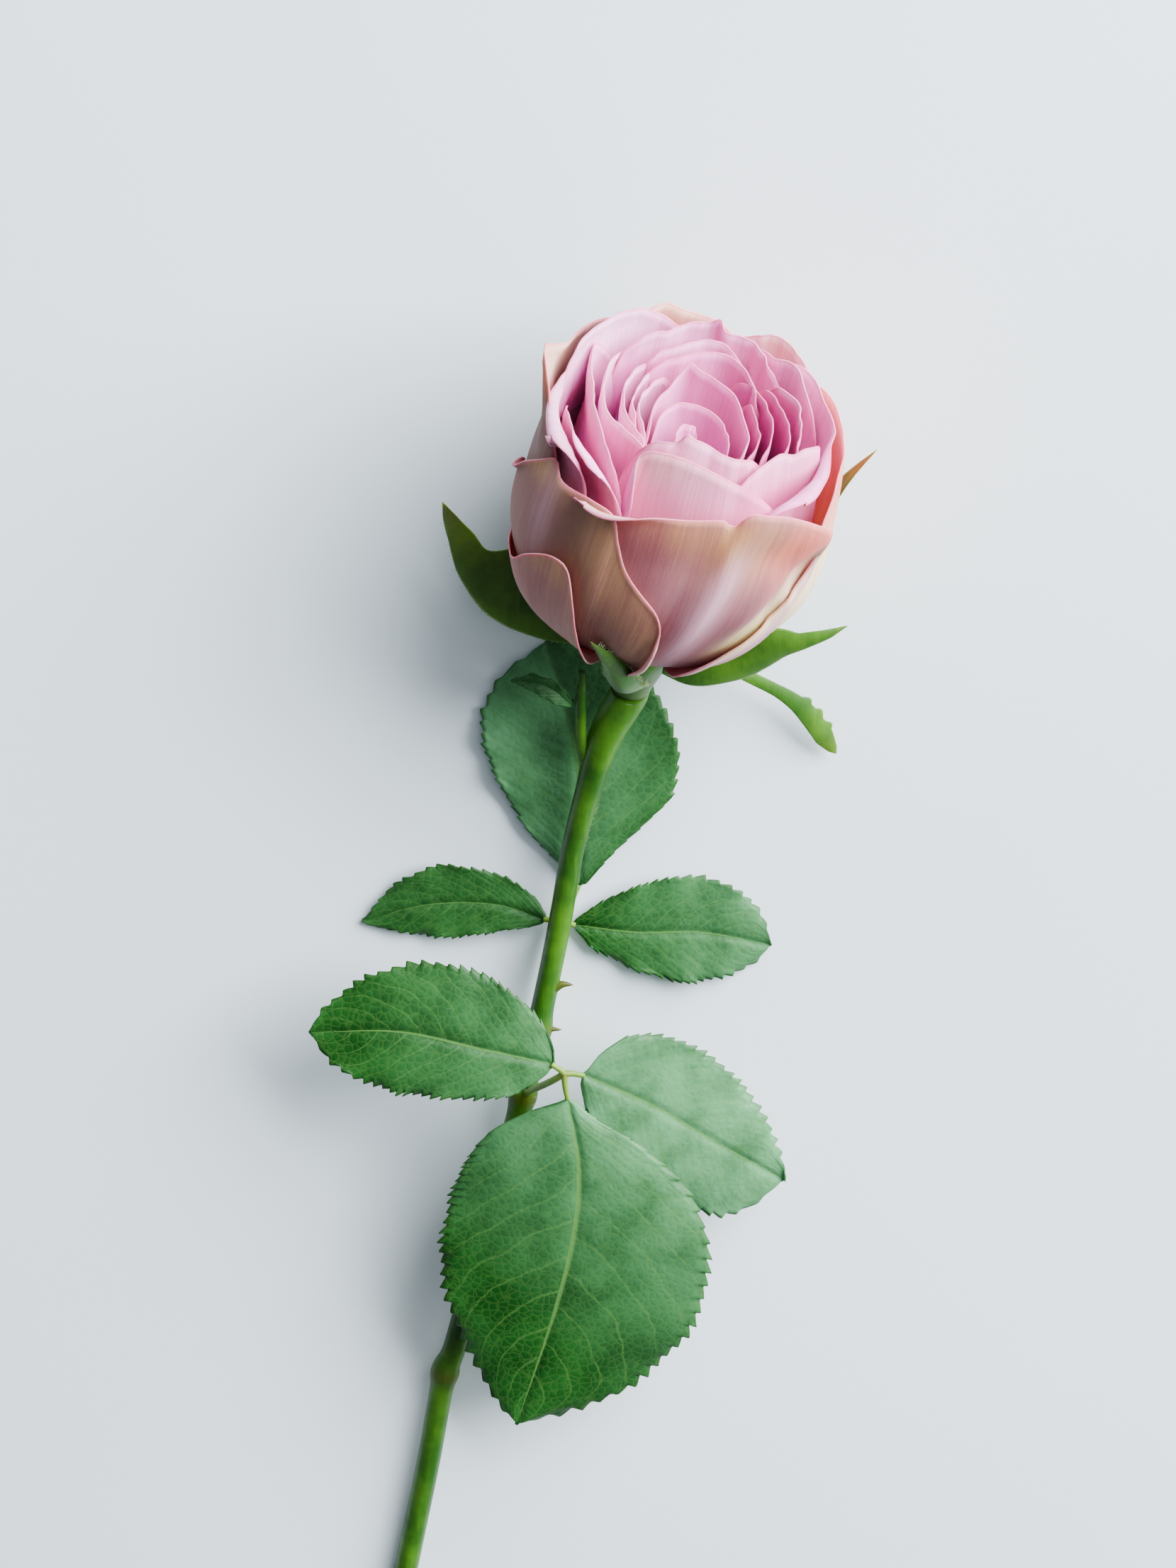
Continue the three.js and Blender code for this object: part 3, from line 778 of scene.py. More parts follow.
def blob(turn: np.ndarray, height: np.ndarray, spot: Patch | Swell) -> np.ndarray:
    """Gaussian weight of a patch or swell over a petal.

    Args:
        turn: degrees about the bloom.
        height: millimetres along the bloom.
        spot: the patch or swell.

    Returns:
        Weights from 0 to 1.
    """
    x = np.radians(turn - spot.turn) * WIDEST
    y = height - spot.height
    c, s = math.cos(math.radians(spot.tilt)), math.sin(math.radians(spot.tilt))
    a, b = c * x + s * y, -s * x + c * y
    return np.exp(-((a / spot.wide) ** 2) - (b / spot.tall) ** 2)


@dataclass
class Petal:
    """One petal of the cup, from its foot to a measured rim.

    The rim is a list of (turn in degrees, height, radius, curl) in millimetres, running from the left
    side edge over the top to the right side edge.
    """

    node: str
    slot: Slot
    rim: tuple[tuple[float, float, float, float], ...]
    foot: float = 3.0
    base: tuple[float, float] = (0.0, 20.0)
    seed: int = 1
    girth: tuple[float, float] = (0.0, 99.0)
    curl_radius: float = 1.3
    curl_stop: float = 2.3
    wave: float = 0.25
    waves: float = 9.0
    thickness: float = 0.3
    columns: int = 57
    rows: int = 30
    flare_run: float = 13.0
    lean: float = 0.0
    swells: tuple[Swell, ...] = ()
    patches: tuple[Patch, ...] = ()
    tones: dict[Mask, float] = field(default_factory=dict)

    def build(
        self, plant: PlantFrame, outside: bpy.types.Material, inside: bpy.types.Material
    ) -> bpy.types.Object:
        """Models and dresses the petal.

        Args:
            plant: where the bloom stands.
            outside: finish of the outer face.
            inside: finish of the inner face.

        Returns:
            The finished object.
        """
        rng = np.random.default_rng(self.seed)
        rim = spline(self.rim, self.columns, np.array((0.5, 1.0, 0.6, 0.0)))
        turn, height = self._sheet(rim)
        radius = self._radii(rim, height)
        for swell in self.swells:
            radius = radius + swell.lift * blob(turn, height, swell)
        points = plant.bloom(radius, np.radians(turn), height)
        points = self._ruffle(points, rim, plant, rng)
        edge, points = self._curl(points, rim)
        masks = self._masks(turn, height, edge, rng)
        maker = MeshMaker(self.node.replace("_", "-"))
        maker.grid(points, masks)
        piece = maker.finish((outside, inside), outward=False)
        shell = piece.modifiers.new("thickness", "SOLIDIFY")
        shell.thickness = self.thickness * MM
        shell.offset = -1.0
        shell.material_offset = 1
        shell.material_offset_rim = 1
        return dress(piece, self.slot, self.node)

    def _sheet(self, rim: np.ndarray) -> tuple[np.ndarray, np.ndarray]:
        """Turn and height of every grid point, from the foot row to the rim row."""
        levels = np.linspace(self.foot + 0.35, TOP_OF_CUP, 400)
        mean_girth = float(np.mean(rim[:, 2]))
        shares = cup_shape(levels, self.foot) * mean_girth
        run = np.concatenate([[0.0], np.cumsum(np.hypot(np.diff(levels), np.diff(shares)))])
        top = np.interp(rim[:, 1], levels, run)
        share = np.linspace(0.0, 1.0, self.rows)[:, None]
        height = np.interp(share * top[None, :], run, levels)
        across = np.linspace(-1.0, 1.0, self.columns)
        start = self.base[0] + self.base[1] * across
        turn = rim[None, :, 0] + (start - rim[:, 0])[None, :] * (1.0 - share) ** 2.2
        return turn, height

    def _radii(self, rim: np.ndarray, height: np.ndarray) -> np.ndarray:
        """Radius of every grid point."""
        at_rim = cup_shape(rim[:, 1], self.foot)
        girth = np.clip(rim[:, 2] / np.maximum(at_rim, 0.3), *self.girth) * (1.0 - self.lean)
        flare = rim[:, 2] - girth * at_rim
        rise = smooth_step(-self.flare_run, 0.0, height - rim[None, :, 1])
        return girth[None, :] * cup_shape(height, self.foot) + flare[None, :] * rise

    def _ruffle(
        self, points: np.ndarray, rim: np.ndarray, plant: PlantFrame, rng: np.random.Generator
    ) -> np.ndarray:
        """Small waves that grow towards the rim, and a slight unevenness elsewhere."""
        rows, columns = points.shape[:2]
        across = np.linspace(0.0, 1.0, columns)[None, :]
        share = np.linspace(0.0, 1.0, rows)[:, None]
        swing = np.zeros((rows, columns))
        for k in range(4):
            pitch = self.waves * (0.45 + 0.4 * k) * rng.uniform(0.85, 1.15)
            lean = rng.uniform(-1.5, 1.5)
            swing += np.sin(2 * math.pi * (across * pitch + share * lean) + rng.uniform(0,
                FULL_TURN)) / (1.0 + 0.6 * k)
        broad = np.sin(2 * math.pi * (across * rng.uniform(1.2, 2.0) + share * rng.uniform(0.4,
            1.1)) + rng.uniform(0, FULL_TURN))
        amount = self.wave * swing * share**5 * 0.5 + 0.22 * broad * np.sin(math.pi * share)
        return points + amount[..., None] * self._normals(points)

    @staticmethod
    def _normals(points: np.ndarray) -> np.ndarray:
        """Outward unit normals of the sheet."""
        up = np.gradient(points, axis=0)
        sideways = np.gradient(points, axis=1)
        return unit_rows(np.cross(sideways, up))

    def _curl(self, points: np.ndarray, rim: np.ndarray) -> tuple[np.ndarray, np.ndarray]:
        """Rolls the strip next to the rim outwards.

        Args:
            points: the sheet.
            rim: rim samples with the curl width in the last column.

        Returns:
            Distance to the rim in millimetres, and the curled sheet.
        """
        border = points[-1]
        gaps = np.linalg.norm(points[:, :, None, :] - border[None, None, :, :], axis=-1)
        nearest = np.argmin(gaps, axis=-1)
        distance = np.min(gaps, axis=-1)
        towards = unit_rows(border[nearest] - points)
        towards[-1] = towards[-2]
        width = rim[:, 3][nearest]
        over = np.clip(width - distance, 0.0, None)
        angle = np.minimum(over / self.curl_radius, self.curl_stop)
        flat = over - angle * self.curl_radius
        normal = self._normals(points)
        pull = -over + self.curl_radius * np.sin(angle) + flat * np.cos(angle)
        lift = self.curl_radius * (1.0 - np.cos(angle)) + flat * np.sin(angle)
        return distance, points + towards * pull[..., None] + normal * lift[..., None]

    def _masks(
        self, turn: np.ndarray, height: np.ndarray, edge: np.ndarray, rng: np.random.Generator
    ) -> dict[str, np.ndarray]:
        """Point attributes of the sheet."""
        rows, columns = turn.shape
        share = np.repeat(np.linspace(0.0, 1.0, rows)[:, None], columns, axis=1)
        across = np.repeat(np.linspace(-1.0, 1.0, columns)[None, :], rows, axis=0)
        masks = {"along": share, "across": across, "edge": edge,
            "seed": np.full(turn.shape, rng.uniform(0, 50))}
        for mask in Mask:
            level = np.full(turn.shape, self.tones.get(mask, 0.0))
            for patch in self.patches:
                if patch.mask is mask:
                    level = level + patch.strength * blob(turn, height, patch)
            masks[mask.value] = np.clip(level, 0.0, 1.0)
        return masks


def guards() -> list[Petal]:
    """The six outer petals, with painted shade on those turned from the light, painted glow on the right
    and painted highlights on ridges.
    """
    return [
        Petal(
            "guard_low_left", Slot.GUARD,
            ((-108, 8, 25.0, 0), (-100, 14, 27.6, 0), (-84, 19, 29.9, 0), (-66, 20.5, 31.4, 0.4),
                (-58, 22, 32.2, 0.8),
             (-50, 27, 33.0, 0.8), (-41, 31, 32.9, 1.0), (-34, 32.3, 32.8, 1.0), (-30, 30.5, 32.9, 0.8),
             (-26.5, 25.5, 33.0, 0.6),
             (-22.5, 17, 32.2, 0.6), (-20, 10.5, 29.2, 0)),
            foot=-2.0, base=(-66, 34), seed=11, girth=(30.6, 33.3), curl_radius=1.0, wave=0.15, columns=65,
            swells=(Swell(-60, 13, 14, 14, 1.1),),
            patches=(Patch(Mask.BROWN_AND_SHADE, -22, 18, 2.2, 14, 0.6), Patch(Mask.ANTIQUE, -45, 30, 12, 4, 0.55)),
            tones={Mask.BROWN_AND_SHADE: 0.5, Mask.ANTIQUE: 0.18},
        ),
        Petal(
            "guard_left", Slot.GUARD,
            ((-98, 8, 24.4, 0), (-97, 16, 27.0, 0), (-95, 24, 29.2, 0), (-91, 30, 30.4, 0),
                (-84, 34.6, 31.3, 0.6), (-75, 37, 32.4, 1.8),
             (-69, 40.5, 32.0, 1.4), (-62, 44, 31.0, 1.0), (-54, 47.4, 29.6, 0.6), (-49, 45.0, 29.6, 0),
             (-41, 45.2, 29.9, 0),
             (-33, 46.0, 30.2, 0), (-22, 46.2, 30.4, 0.5), (-17.5, 41.5, 30.6, 0.7),
             (-12.5, 36.5, 30.8, 0.7),
             (-5, 32.6, 30.9, 0.7), (2, 29, 31.0, 0.8), (4.5, 24.5, 30.9, 1.0), (4, 18, 30.2, 1.0),
             (2, 13, 28.6, 0.8),
             (-3, 8, 25.5, 0)),
            foot=-1.2, base=(-48, 32), seed=12, girth=(29.5, 32.1), curl_radius=0.9, wave=0.2, columns=85,
            rows=36,
            swells=(Swell(-50, 34, 5.5, 16, 0.8), Swell(-34, 36, 4.5, 18, -0.7), Swell(-8, 22, 9, 12, 0.8)),
            patches=(Patch(Mask.ANTIQUE, -18, 40, 8, 14, 0.5), Patch(Mask.PALE_AND_HIGHLIGHT, -51, 37, 2.6, 12, 0.35),
                     Patch(Mask.BROWN_AND_SHADE, -36, 34, 5, 14, 0.25), Patch(Mask.ANTIQUE, -58, 44, 7, 3, 0.6),
                     Patch(Mask.ANTIQUE, 1, 20, 5, 12, 0.35)),
            tones={Mask.BROWN_AND_SHADE: 0.74, Mask.ANTIQUE: 0.1},
        ),
        Petal(
            "guard_front", Slot.GUARD,
            ((-52, 26, 29.4, 0), (-49, 36, 29.4, 0), (-42, 42.8, 29.4, 1.0), (-35, 46.2, 29.7, 2.4),
                (-27, 47.2, 29.6, 2.8),
             (-20, 48.2, 29.7, 2.6), (-13, 49.2, 29.8, 2.0), (-6, 50.2, 29.8, 1.2), (6, 51.3, 29.8, 0.4),
             (16, 52.2, 29.9, 0.3),
             (19.5, 51.0, 30.0, 0.2), (23, 53.4, 30.2, 0.3), (26, 54.5, 30.3, 0.4), (33, 54.0, 30.6, 0.4),
             (40, 53.1, 31.0, 0.4),
             (50, 50.5, 31.9, 0.4), (58, 47.6, 33.2, 0.3), (58.5, 42.6, 31.8, 0), (56.5, 38.4, 31.3, 0),
             (52.8, 35.2, 31.1, 0),
             (48.6, 31.6, 31.0, 0), (44.8, 28.0, 30.9, 0), (39, 24.0, 30.5, 0), (31.5, 19.6, 29.8, 0),
             (25, 14.5, 28.2, 0), (18, 9.0, 24.8, 0)),
            foot=0.0, base=(-8, 26), seed=13, girth=(29.5, 30.3), curl_radius=1.1, curl_stop=2.6, wave=0.2,
            columns=105, rows=44,
            swells=(Swell(46, 39.5, 1.9, 11, 1.3, -32), Swell(34, 29, 1.7, 9, 1.0, -24),
                Swell(53, 38.5, 1.5, 4, -0.7, -40),
                    Swell(49, 32, 1.2, 3.2, 0.6, 20), Swell(44, 28, 1.2, 3.4, -0.6, 10),
                    Swell(2, 30, 8, 13, 0.6), Swell(15, 30, 3.6, 19, 1.5, -16),
                    Swell(5, 25, 4.0, 18, -1.0, -16),
                    Swell(30, 36, 7, 10, 0.5), Swell(24, 22, 4, 14, -0.4, -16)),
            tones={Mask.BROWN_AND_SHADE: 0.16},
            patches=(Patch(Mask.ANTIQUE, 13, 48.5, 12, 5.5, 0.95),
                Patch(Mask.ANTIQUE, 26, 44, 9, 8, 0.45, 20),
                     Patch(Mask.SALMON_AND_GLOW, 49, 46.5, 8, 5, 0.75), Patch(Mask.SALMON_AND_GLOW, 41, 41, 5, 5, 0.4),
                     Patch(Mask.CREAM, 53, 36.5, 2.0, 8, 0.55, -34),
                     Patch(Mask.CREAM, 44, 28.5, 2.4, 8, 0.9, -34),
                     Patch(Mask.CREAM, 36, 22.5, 2.6, 7, 0.9, -34),
                     Patch(Mask.PALE_AND_HIGHLIGHT, 52, 35, 1.6, 7, 0.4, -34), Patch(Mask.DEEP_SHADE, 30, 40, 4, 9, 0.3,
                         -26),
                     Patch(Mask.PALE_AND_HIGHLIGHT, 17, 29, 2.4, 13, 0.8, -16),
                     Patch(Mask.PALE_AND_HIGHLIGHT, 24, 39, 3, 8, 0.25, -20),
                     Patch(Mask.BROWN_AND_SHADE, -22, 34, 6, 16, 0.28)),
        ),
        Petal(
            "guard_under", Slot.GUARD,
            ((166, 30, 30.5, 0), (170, 44, 28.8, 0), (176, 52, 27.2, 0), (184, 55.5, 26.2, 0.4),
                (194, 56.5, 25.8, 0.6),
             (201, 57.6, 25.6, 0.6), (207, 58.6, 25.8, 0.8), (213, 58.8, 25.6, 0.8), (219, 57.6, 25.6, 0.4),
             (226, 55, 26.4, 0),
             (235, 49, 27.6, 0), (240, 38, 29.4, 0), (241, 27, 30.4, 0)),
            foot=0.0, base=(203, 30), seed=14, girth=(29.4, 31.4), wave=0.3,
            patches=(Patch(Mask.ANTIQUE, 205, 57, 12, 4, 0.7),), tones={Mask.ANTIQUE: 0.55},
        ),
        Petal(
            "guard_back_left", Slot.GUARD,
            ((-150, 30, 30.0, 0), (-147, 44, 29.0, 0), (-138, 53, 28.8, 0), (-126, 56, 28.6, 0),
                (-113, 57, 28.4, 0),
             (-101, 57.3, 28.4, 0.2), (-93, 58.6, 29.6, 0.5), (-87, 60.0, 31.6, 1.0),
             (-81.5, 57.0, 30.6, 0.8), (-76.5, 53.8, 29.6, 0.7),
             (-70, 51.0, 29.3, 0.5), (-64, 49.4, 29.3, 0.4), (-56, 46.0, 29.3, 0), (-50, 38, 29.4, 0),
             (-47, 28, 29.4, 0)),
            foot=0.6, base=(-100, 32), seed=15, girth=(29.6, 30.6), curl_radius=1.0, wave=0.15, columns=65,
            patches=(Patch(Mask.ANTIQUE, -92, 56, 8, 5, 0.85),),
            tones={Mask.BROWN_AND_SHADE: 0.95},
        ),
        Petal(
            "guard_right", Slot.GUARD,
            ((24, 8, 20.5, 0), (33, 16, 25.6, 0), (43, 25, 28.4, 0), (54, 34, 29.2, 0), (66, 43.5, 29.0, 0),
                (74, 47.5, 28.3, 0.3),
             (82, 50, 27.2, 0.5), (95, 51.2, 27.0, 0.7), (108, 51.7, 26.9, 0.8), (118, 52.6, 27.0, 0.9),
             (127, 53.0, 26.8, 0.8),
             (138, 51, 27.4, 0.3), (149, 45, 28.2, 0), (152, 34, 29.0, 0)),
            foot=0.0, base=(100, 32), seed=16, girth=(29.4, 29.2), wave=0.2, columns=65,
            swells=(Swell(66, 24, 10, 7, 0.6),),
            patches=(Patch(Mask.CREAM, 62, 24, 14, 13, 1.0), Patch(Mask.CREAM, 84, 22, 14, 13, 0.9),
                Patch(Mask.PALE_AND_HIGHLIGHT, 66, 27, 8, 8, 0.35)),
            tones={Mask.SALMON_AND_GLOW: 0.62},
        ),
    ]


def ring_petals() -> list[Petal]:
    """The second and third rings of the bloom, with painted shade below the rims and painted highlights on
    rims that face the light.
    """
    return [
        Petal(
            "petal_back_right", Slot.INNER,
            ((122, 40, 27.0, 0), (128, 50, 26.4, 0), (136, 54.5, 25.6, 0), (146, 56.6, 25.2, 0.5),
                (153, 57.4, 25.4, 0.6),
             (160, 57.2, 25.4, 0.6), (168, 55.6, 24.8, 0.4), (176, 52, 25.0, 0), (180, 42, 26.6, 0)),
            foot=1.6, base=(150, 26), lean=0.12, seed=21, tones={Mask.ANTIQUE: 0.35, Mask.BROWN_AND_SHADE: 0.1},
            patches=(Patch(Mask.ANTIQUE, 156, 56, 11, 5, 0.6),),
        ),
        Petal(
            "petal_back_tall", Slot.INNER,
            ((-176, 42, 26.6, 0), (-168, 50, 25.2, 0), (-158, 54.5, 24.4, 0), (-150, 57, 24.4, 0.3),
                (-143, 58.3, 24.6, 0.5),
             (-138, 59.2, 25.0, 0.5), (-127, 59.6, 25.1, 0.5), (-115, 59.2, 25.3, 0.5),
             (-106, 58.6, 25.9, 0.4), (-98, 57.4, 26.6, 0.3),
             (-92, 54.8, 27.0, 0.2), (-87, 51.6, 27.1, 0.2), (-78, 49, 27.3, 0.2), (-68, 44, 27.6, 0),
             (-64, 34, 28.0, 0)),
            foot=1.6, base=(-128, 34), lean=0.12, seed=22, columns=65, wave=0.2,
            patches=(Patch(Mask.PALE_AND_HIGHLIGHT, -124, 55, 20, 9, 0.85), Patch(Mask.DEEP_SHADE, -88, 46, 8, 8, 0.5)),
        ),
        Petal(
            "petal_right_pale", Slot.INNER,
            ((28, 30, 26.6, 0), (30, 40, 26.4, 0), (33, 47, 26.2, 0.8), (39, 51.4, 25.6, 2.4),
                (48, 53.4, 24.7, 3.6), (58, 54.0, 24.1, 4.0),
             (68, 53.8, 23.8, 3.4), (80, 53.4, 23.6, 2.4), (91, 53.2, 23.6, 1.6), (100, 53.6, 24.4, 1.2),
             (106, 54.0, 24.4, 0.6), (113, 54.6, 23.8, 0.3),
             (121, 55.2, 23.8, 0.3), (130, 56.0, 24.0, 0.3), (139, 56.4, 23.4, 0.3), (147, 54.5, 23.4, 0.2),
             (154, 48, 24.6, 0), (156, 38, 26.0, 0)),
            foot=2.2, base=(94, 38), seed=23, columns=75, wave=0.2, curl_radius=1.3, curl_stop=2.0,
            lean=0.17,
            patches=(Patch(Mask.PALE_AND_HIGHLIGHT, 132, 52, 9, 8, 0.6), Patch(Mask.DEEP_SHADE, 96, 44, 18, 9, 0.7),
                     Patch(Mask.PALE_AND_HIGHLIGHT, 92, 51, 12, 2.0, 0.5)),
        ),
        Petal(
            "petal_left_rolled", Slot.INNER,
            ((-122, 40, 26.6, 0), (-114, 48, 26.6, 0), (-104, 52.0, 26.6, 0), (-96, 53.6, 26.6, 0.6),
                (-88, 54.0, 26.6, 1.8), (-80, 54.0, 26.7, 2.8),
             (-72, 54.0, 26.8, 3.6), (-64, 54.2, 26.9, 4.2), (-57, 54.4, 27.0, 4.8), (-51, 53.6, 27.2, 4.8),
             (-46, 51.6, 27.3, 3.6),
             (-42, 48.0, 27.5, 1.6), (-38, 43, 27.7, 0), (-35, 34, 28.0, 0)),
            foot=2.2, base=(-76, 32), lean=0.06, seed=24, columns=65, wave=0.2, curl_radius=1.35,
            patches=(Patch(Mask.PALE_AND_HIGHLIGHT, -62, 55, 20, 3.4, 0.6), Patch(Mask.ANTIQUE, -66, 53, 16, 2.6, 0.3)),
            tones={Mask.BROWN_AND_SHADE: 0.55},
        ),
        Petal(
            "petal_back_ruffled", Slot.INNER,
            ((134, 40, 22.6, 0), (140, 50, 20.4, 0), (148, 54.6, 19.4, 0.2), (158, 56.6, 19.8, 0.4),
                (167, 57.2, 20.9, 0.5),
             (174, 57.0, 20.8, 0.5), (181, 57.4, 21.6, 0.5), (184, 59.2, 22.4, 0.3), (189, 57.6, 22.0, 0.4),
             (194, 57.8, 21.8, 0.6),
             (203, 57.2, 21.0, 0.6), (212, 56.8, 20.6, 0.6), (221, 56.6, 20.4, 0.4), (230, 55.4, 20.6, 0.2),
             (238, 52, 21.6, 0),
             (242, 42, 23.2, 0)),
            foot=3.2, base=(188, 34), lean=0.12, seed=25, columns=75, wave=0.55, waves=11,
            patches=(Patch(Mask.PALE_AND_HIGHLIGHT, 214, 56, 10, 6, 0.5), Patch(Mask.PALE_AND_HIGHLIGHT, 176, 55, 12, 5, 0.3)),
        ),
        Petal(
            "petal_left_second", Slot.INNER,
            ((-96, 40, 26.0, 0), (-88, 47, 25.6, 0), (-78, 49.4, 25.5, 0.4), (-68, 50.4, 25.2, 1.2),
                (-58, 51.4, 25.0, 2.4),
             (-48, 52.2, 25.0, 3.2), (-40, 52.0, 25.2, 3.4), (-34, 50.8, 25.6, 3.0), (-29, 48.6, 25.9, 2.0),
             (-24, 45, 26.2, 0.6),
             (-20, 40, 26.5, 0), (-18, 32, 26.8, 0)),
            foot=2.6, base=(-56, 30), lean=0.12, seed=26, curl_radius=1.5, wave=0.2,
            patches=(Patch(Mask.PALE_AND_HIGHLIGHT, -46, 50, 14, 4, 0.5), Patch(Mask.DEEP_SHADE, -40, 42, 14, 5, 0.5)),
        ),
        Petal(
            "petal_front", Slot.INNER,
            ((-23, 30, 26.4, 0), (-21, 40, 26.0, 0), (-20, 46, 25.2, 0), (-23, 50.5, 23.4, 0.2),
                (-27, 54.0, 21.2, 0.3), (-22, 55.6, 20.3, 0.3),
             (-14, 56.4, 19.9, 0.4), (-5, 56.8, 20.0, 0.5), (5, 56.6, 20.6, 0.5), (14, 56.0, 21.4, 0.5),
             (23, 54.8, 22.2, 0.5),
             (31, 53.4, 23.2, 0.5), (38, 51.2, 23.9, 0.4), (44, 48.0, 24.6, 0.2), (48, 42, 25.4, 0),
             (50, 32, 26.2, 0)),
            foot=2.8, base=(12, 28), seed=27, columns=75, wave=0.15, curl_radius=1.2,
            swells=(Swell(16, 46, 12, 9, 0.6),),
            patches=(Patch(Mask.ANTIQUE, -18, 54, 8, 3.4, 0.55), Patch(Mask.ANTIQUE, 6, 56, 9, 3, 0.35),
                     Patch(Mask.PALE_AND_HIGHLIGHT, 2, 53, 12, 4.5, 0.4), Patch(Mask.DEEP_SHADE, 34, 48, 9, 8, 0.35)),
        ),
        Petal(
            "petal_left_third", Slot.INNER,
            ((-134, 40, 25.2, 0), (-128, 48, 25.0, 0), (-120, 52.6, 25.0, 0), (-112, 55.2, 25.2, 0),
                (-105, 54.0, 24.0, 0.2), (-98, 53.2, 22.7, 0.3),
             (-88, 53.0, 21.6, 0.3), (-77, 52.9, 21.1, 0.3), (-66, 52.7, 21.1, 0.3), (-56, 52.4, 21.5, 0.4),
             (-46, 51.9, 22.5, 0.4),
             (-38, 51.0, 23.5, 0.4), (-31, 49, 24.4, 0.2), (-25, 44, 25.0, 0), (-22, 34, 25.4, 0)),
            foot=3.2, base=(-82, 34), lean=0.12, seed=28, columns=65, wave=0.2,
            patches=(Patch(Mask.PALE_AND_HIGHLIGHT, -100, 52, 16, 5, 0.6), Patch(Mask.DEEP_SHADE, -50, 46, 14, 5, 0.5)),
        ),
        Petal(
            "petal_back_second", Slot.INNER,
            ((100, 38, 24.2, 0), (106, 47, 22.9, 0), (113, 52.0, 21.6, 0), (121, 54.4, 21.2, 0.2),
                (130, 55.8, 21.4, 0.3), (138, 56.8, 22.2, 0.4),
             (144, 56.6, 22.0, 0.4), (152, 55.6, 21.4, 0.3), (161, 55.0, 22.6, 0.3), (168, 53, 22.9, 0.2),
             (174, 48, 23.6, 0),
             (177, 38, 24.6, 0)),
            foot=3.4, base=(139, 30), lean=0.12, seed=29, wave=0.25, waves=7,
            patches=(Patch(Mask.PALE_AND_HIGHLIGHT, 136, 55, 10, 5, 0.45),),
        ),
        Petal(
            "petal_front_right", Slot.INNER,
            ((14, 34, 24.6, 0), (18, 44, 22.8, 0), (24, 49.5, 21.0, 0), (32, 52.6, 19.4, 0),
                (40, 54.0, 18.4, 0.2), (49, 54.8, 17.9, 0.4),
             (57, 55.4, 17.9, 0.5), (64, 54.9, 18.5, 0.4), (69, 54.3, 19.2, 0.4), (74, 54.9, 20.0, 0.4),
             (80, 54.6, 21.2, 0.4), (85, 53.8, 22.2, 0.3),
             (88, 50, 22.8, 0), (90, 42, 23.4, 0), (91, 32, 24.0, 0)),
            foot=3.4, base=(52, 30), seed=30, wave=0.2, curl_radius=1.0,
            patches=(Patch(Mask.PALE_AND_HIGHLIGHT, 58, 53, 12, 4, 0.4), Patch(Mask.DEEP_SHADE, 62, 46, 10, 6, 0.5)),
        ),
        Petal(
            "petal_back_third", Slot.INNER,
            ((152, 38, 20.8, 0), (158, 48, 18.8, 0), (167, 53.2, 18.6, 0.2), (176, 55.0, 19.4, 0.3),
                (185, 55.6, 19.6, 0.3), (194, 55.4, 19.0, 0.4),
             (203, 55.2, 18.2, 0.3), (212, 54.6, 17.6, 0.3), (221, 53.8, 17.6, 0.2), (229, 50, 18.8, 0),
             (233, 40, 21.0, 0)),
            foot=4.0, base=(192, 32), lean=0.12, seed=31, wave=0.3, waves=8,
            patches=(Patch(Mask.PALE_AND_HIGHLIGHT, 200, 54, 14, 5, 0.4),),
        ),
        Petal(
            "petal_front_ruffled", Slot.INNER,
            ((-42, 36, 20.4, 0), (-39, 46, 18.8, 0), (-34, 52, 17.8, 0), (-27, 55.2, 17.6, 0.2),
                (-20, 56.2, 16.9, 0.3), (-13, 56.8, 16.1, 0.3),
             (-8, 59.0, 15.6, 0.2), (-2, 58.4, 15.6, 0.3), (5, 58.0, 15.6, 0.4), (13, 57.0, 16.0, 0.3),
             (21, 56.4, 16.6, 0.4), (30, 55.8, 16.9, 0.4),
             (40, 54.9, 16.6, 0.3), (48, 52, 17.4, 0), (54, 46, 19.0, 0), (56, 36, 20.8, 0)),
            foot=4.0, base=(6, 34), seed=32, columns=75, wave=0.35, waves=10,
            patches=(Patch(Mask.PALE_AND_HIGHLIGHT, -2, 56.5, 20, 4, 0.6),),
        ),
        Petal(
            "petal_right_second", Slot.INNER,
            ((66, 36, 22.2, 0), (70, 46, 20.6, 0), (78, 50.4, 19.2, 0.1), (87, 52.4, 18.3, 0.2),
                (97, 53.4, 18.4, 0.3), (107, 54.0, 18.5, 0.3),
             (117, 54.4, 18.6, 0.3), (127, 54.2, 18.2, 0.3), (137, 53.6, 17.9, 0.2), (145, 49, 18.8, 0),
             (148, 38, 20.6, 0)),
            foot=4.2, base=(106, 34), lean=0.12, seed=33, wave=0.3, waves=8, tones={Mask.DEEP_SHADE: 0.6},
            patches=(Patch(Mask.PALE_AND_HIGHLIGHT, 112, 54.4, 18, 1.8, 0.5),),
        ),
        Petal(
            "petal_left_fourth", Slot.INNER,
            ((-146, 38, 22.8, 0), (-142, 46, 22.2, 0), (-137, 50.4, 21.9, 0), (-127, 52.6, 22.0, 0.2),
                (-114, 52.4, 21.6, 0.3), (-98, 51.6, 20.0, 0.4),
             (-81, 51.2, 18.6, 0.4), (-70, 51.0, 17.6, 0.3), (-58, 50.9, 16.0, 0.3), (-46, 50.6, 15.0, 0.3),
             (-37, 49.8, 15.0, 0.2), (-30, 46, 16.4, 0),
             (-27, 36, 18.8, 0)),
            foot=4.2, base=(-88, 36), lean=0.12, seed=34, columns=65, wave=0.25,
            patches=(Patch(Mask.PALE_AND_HIGHLIGHT, -96, 50, 20, 6, 0.9),),
        ),
    ]


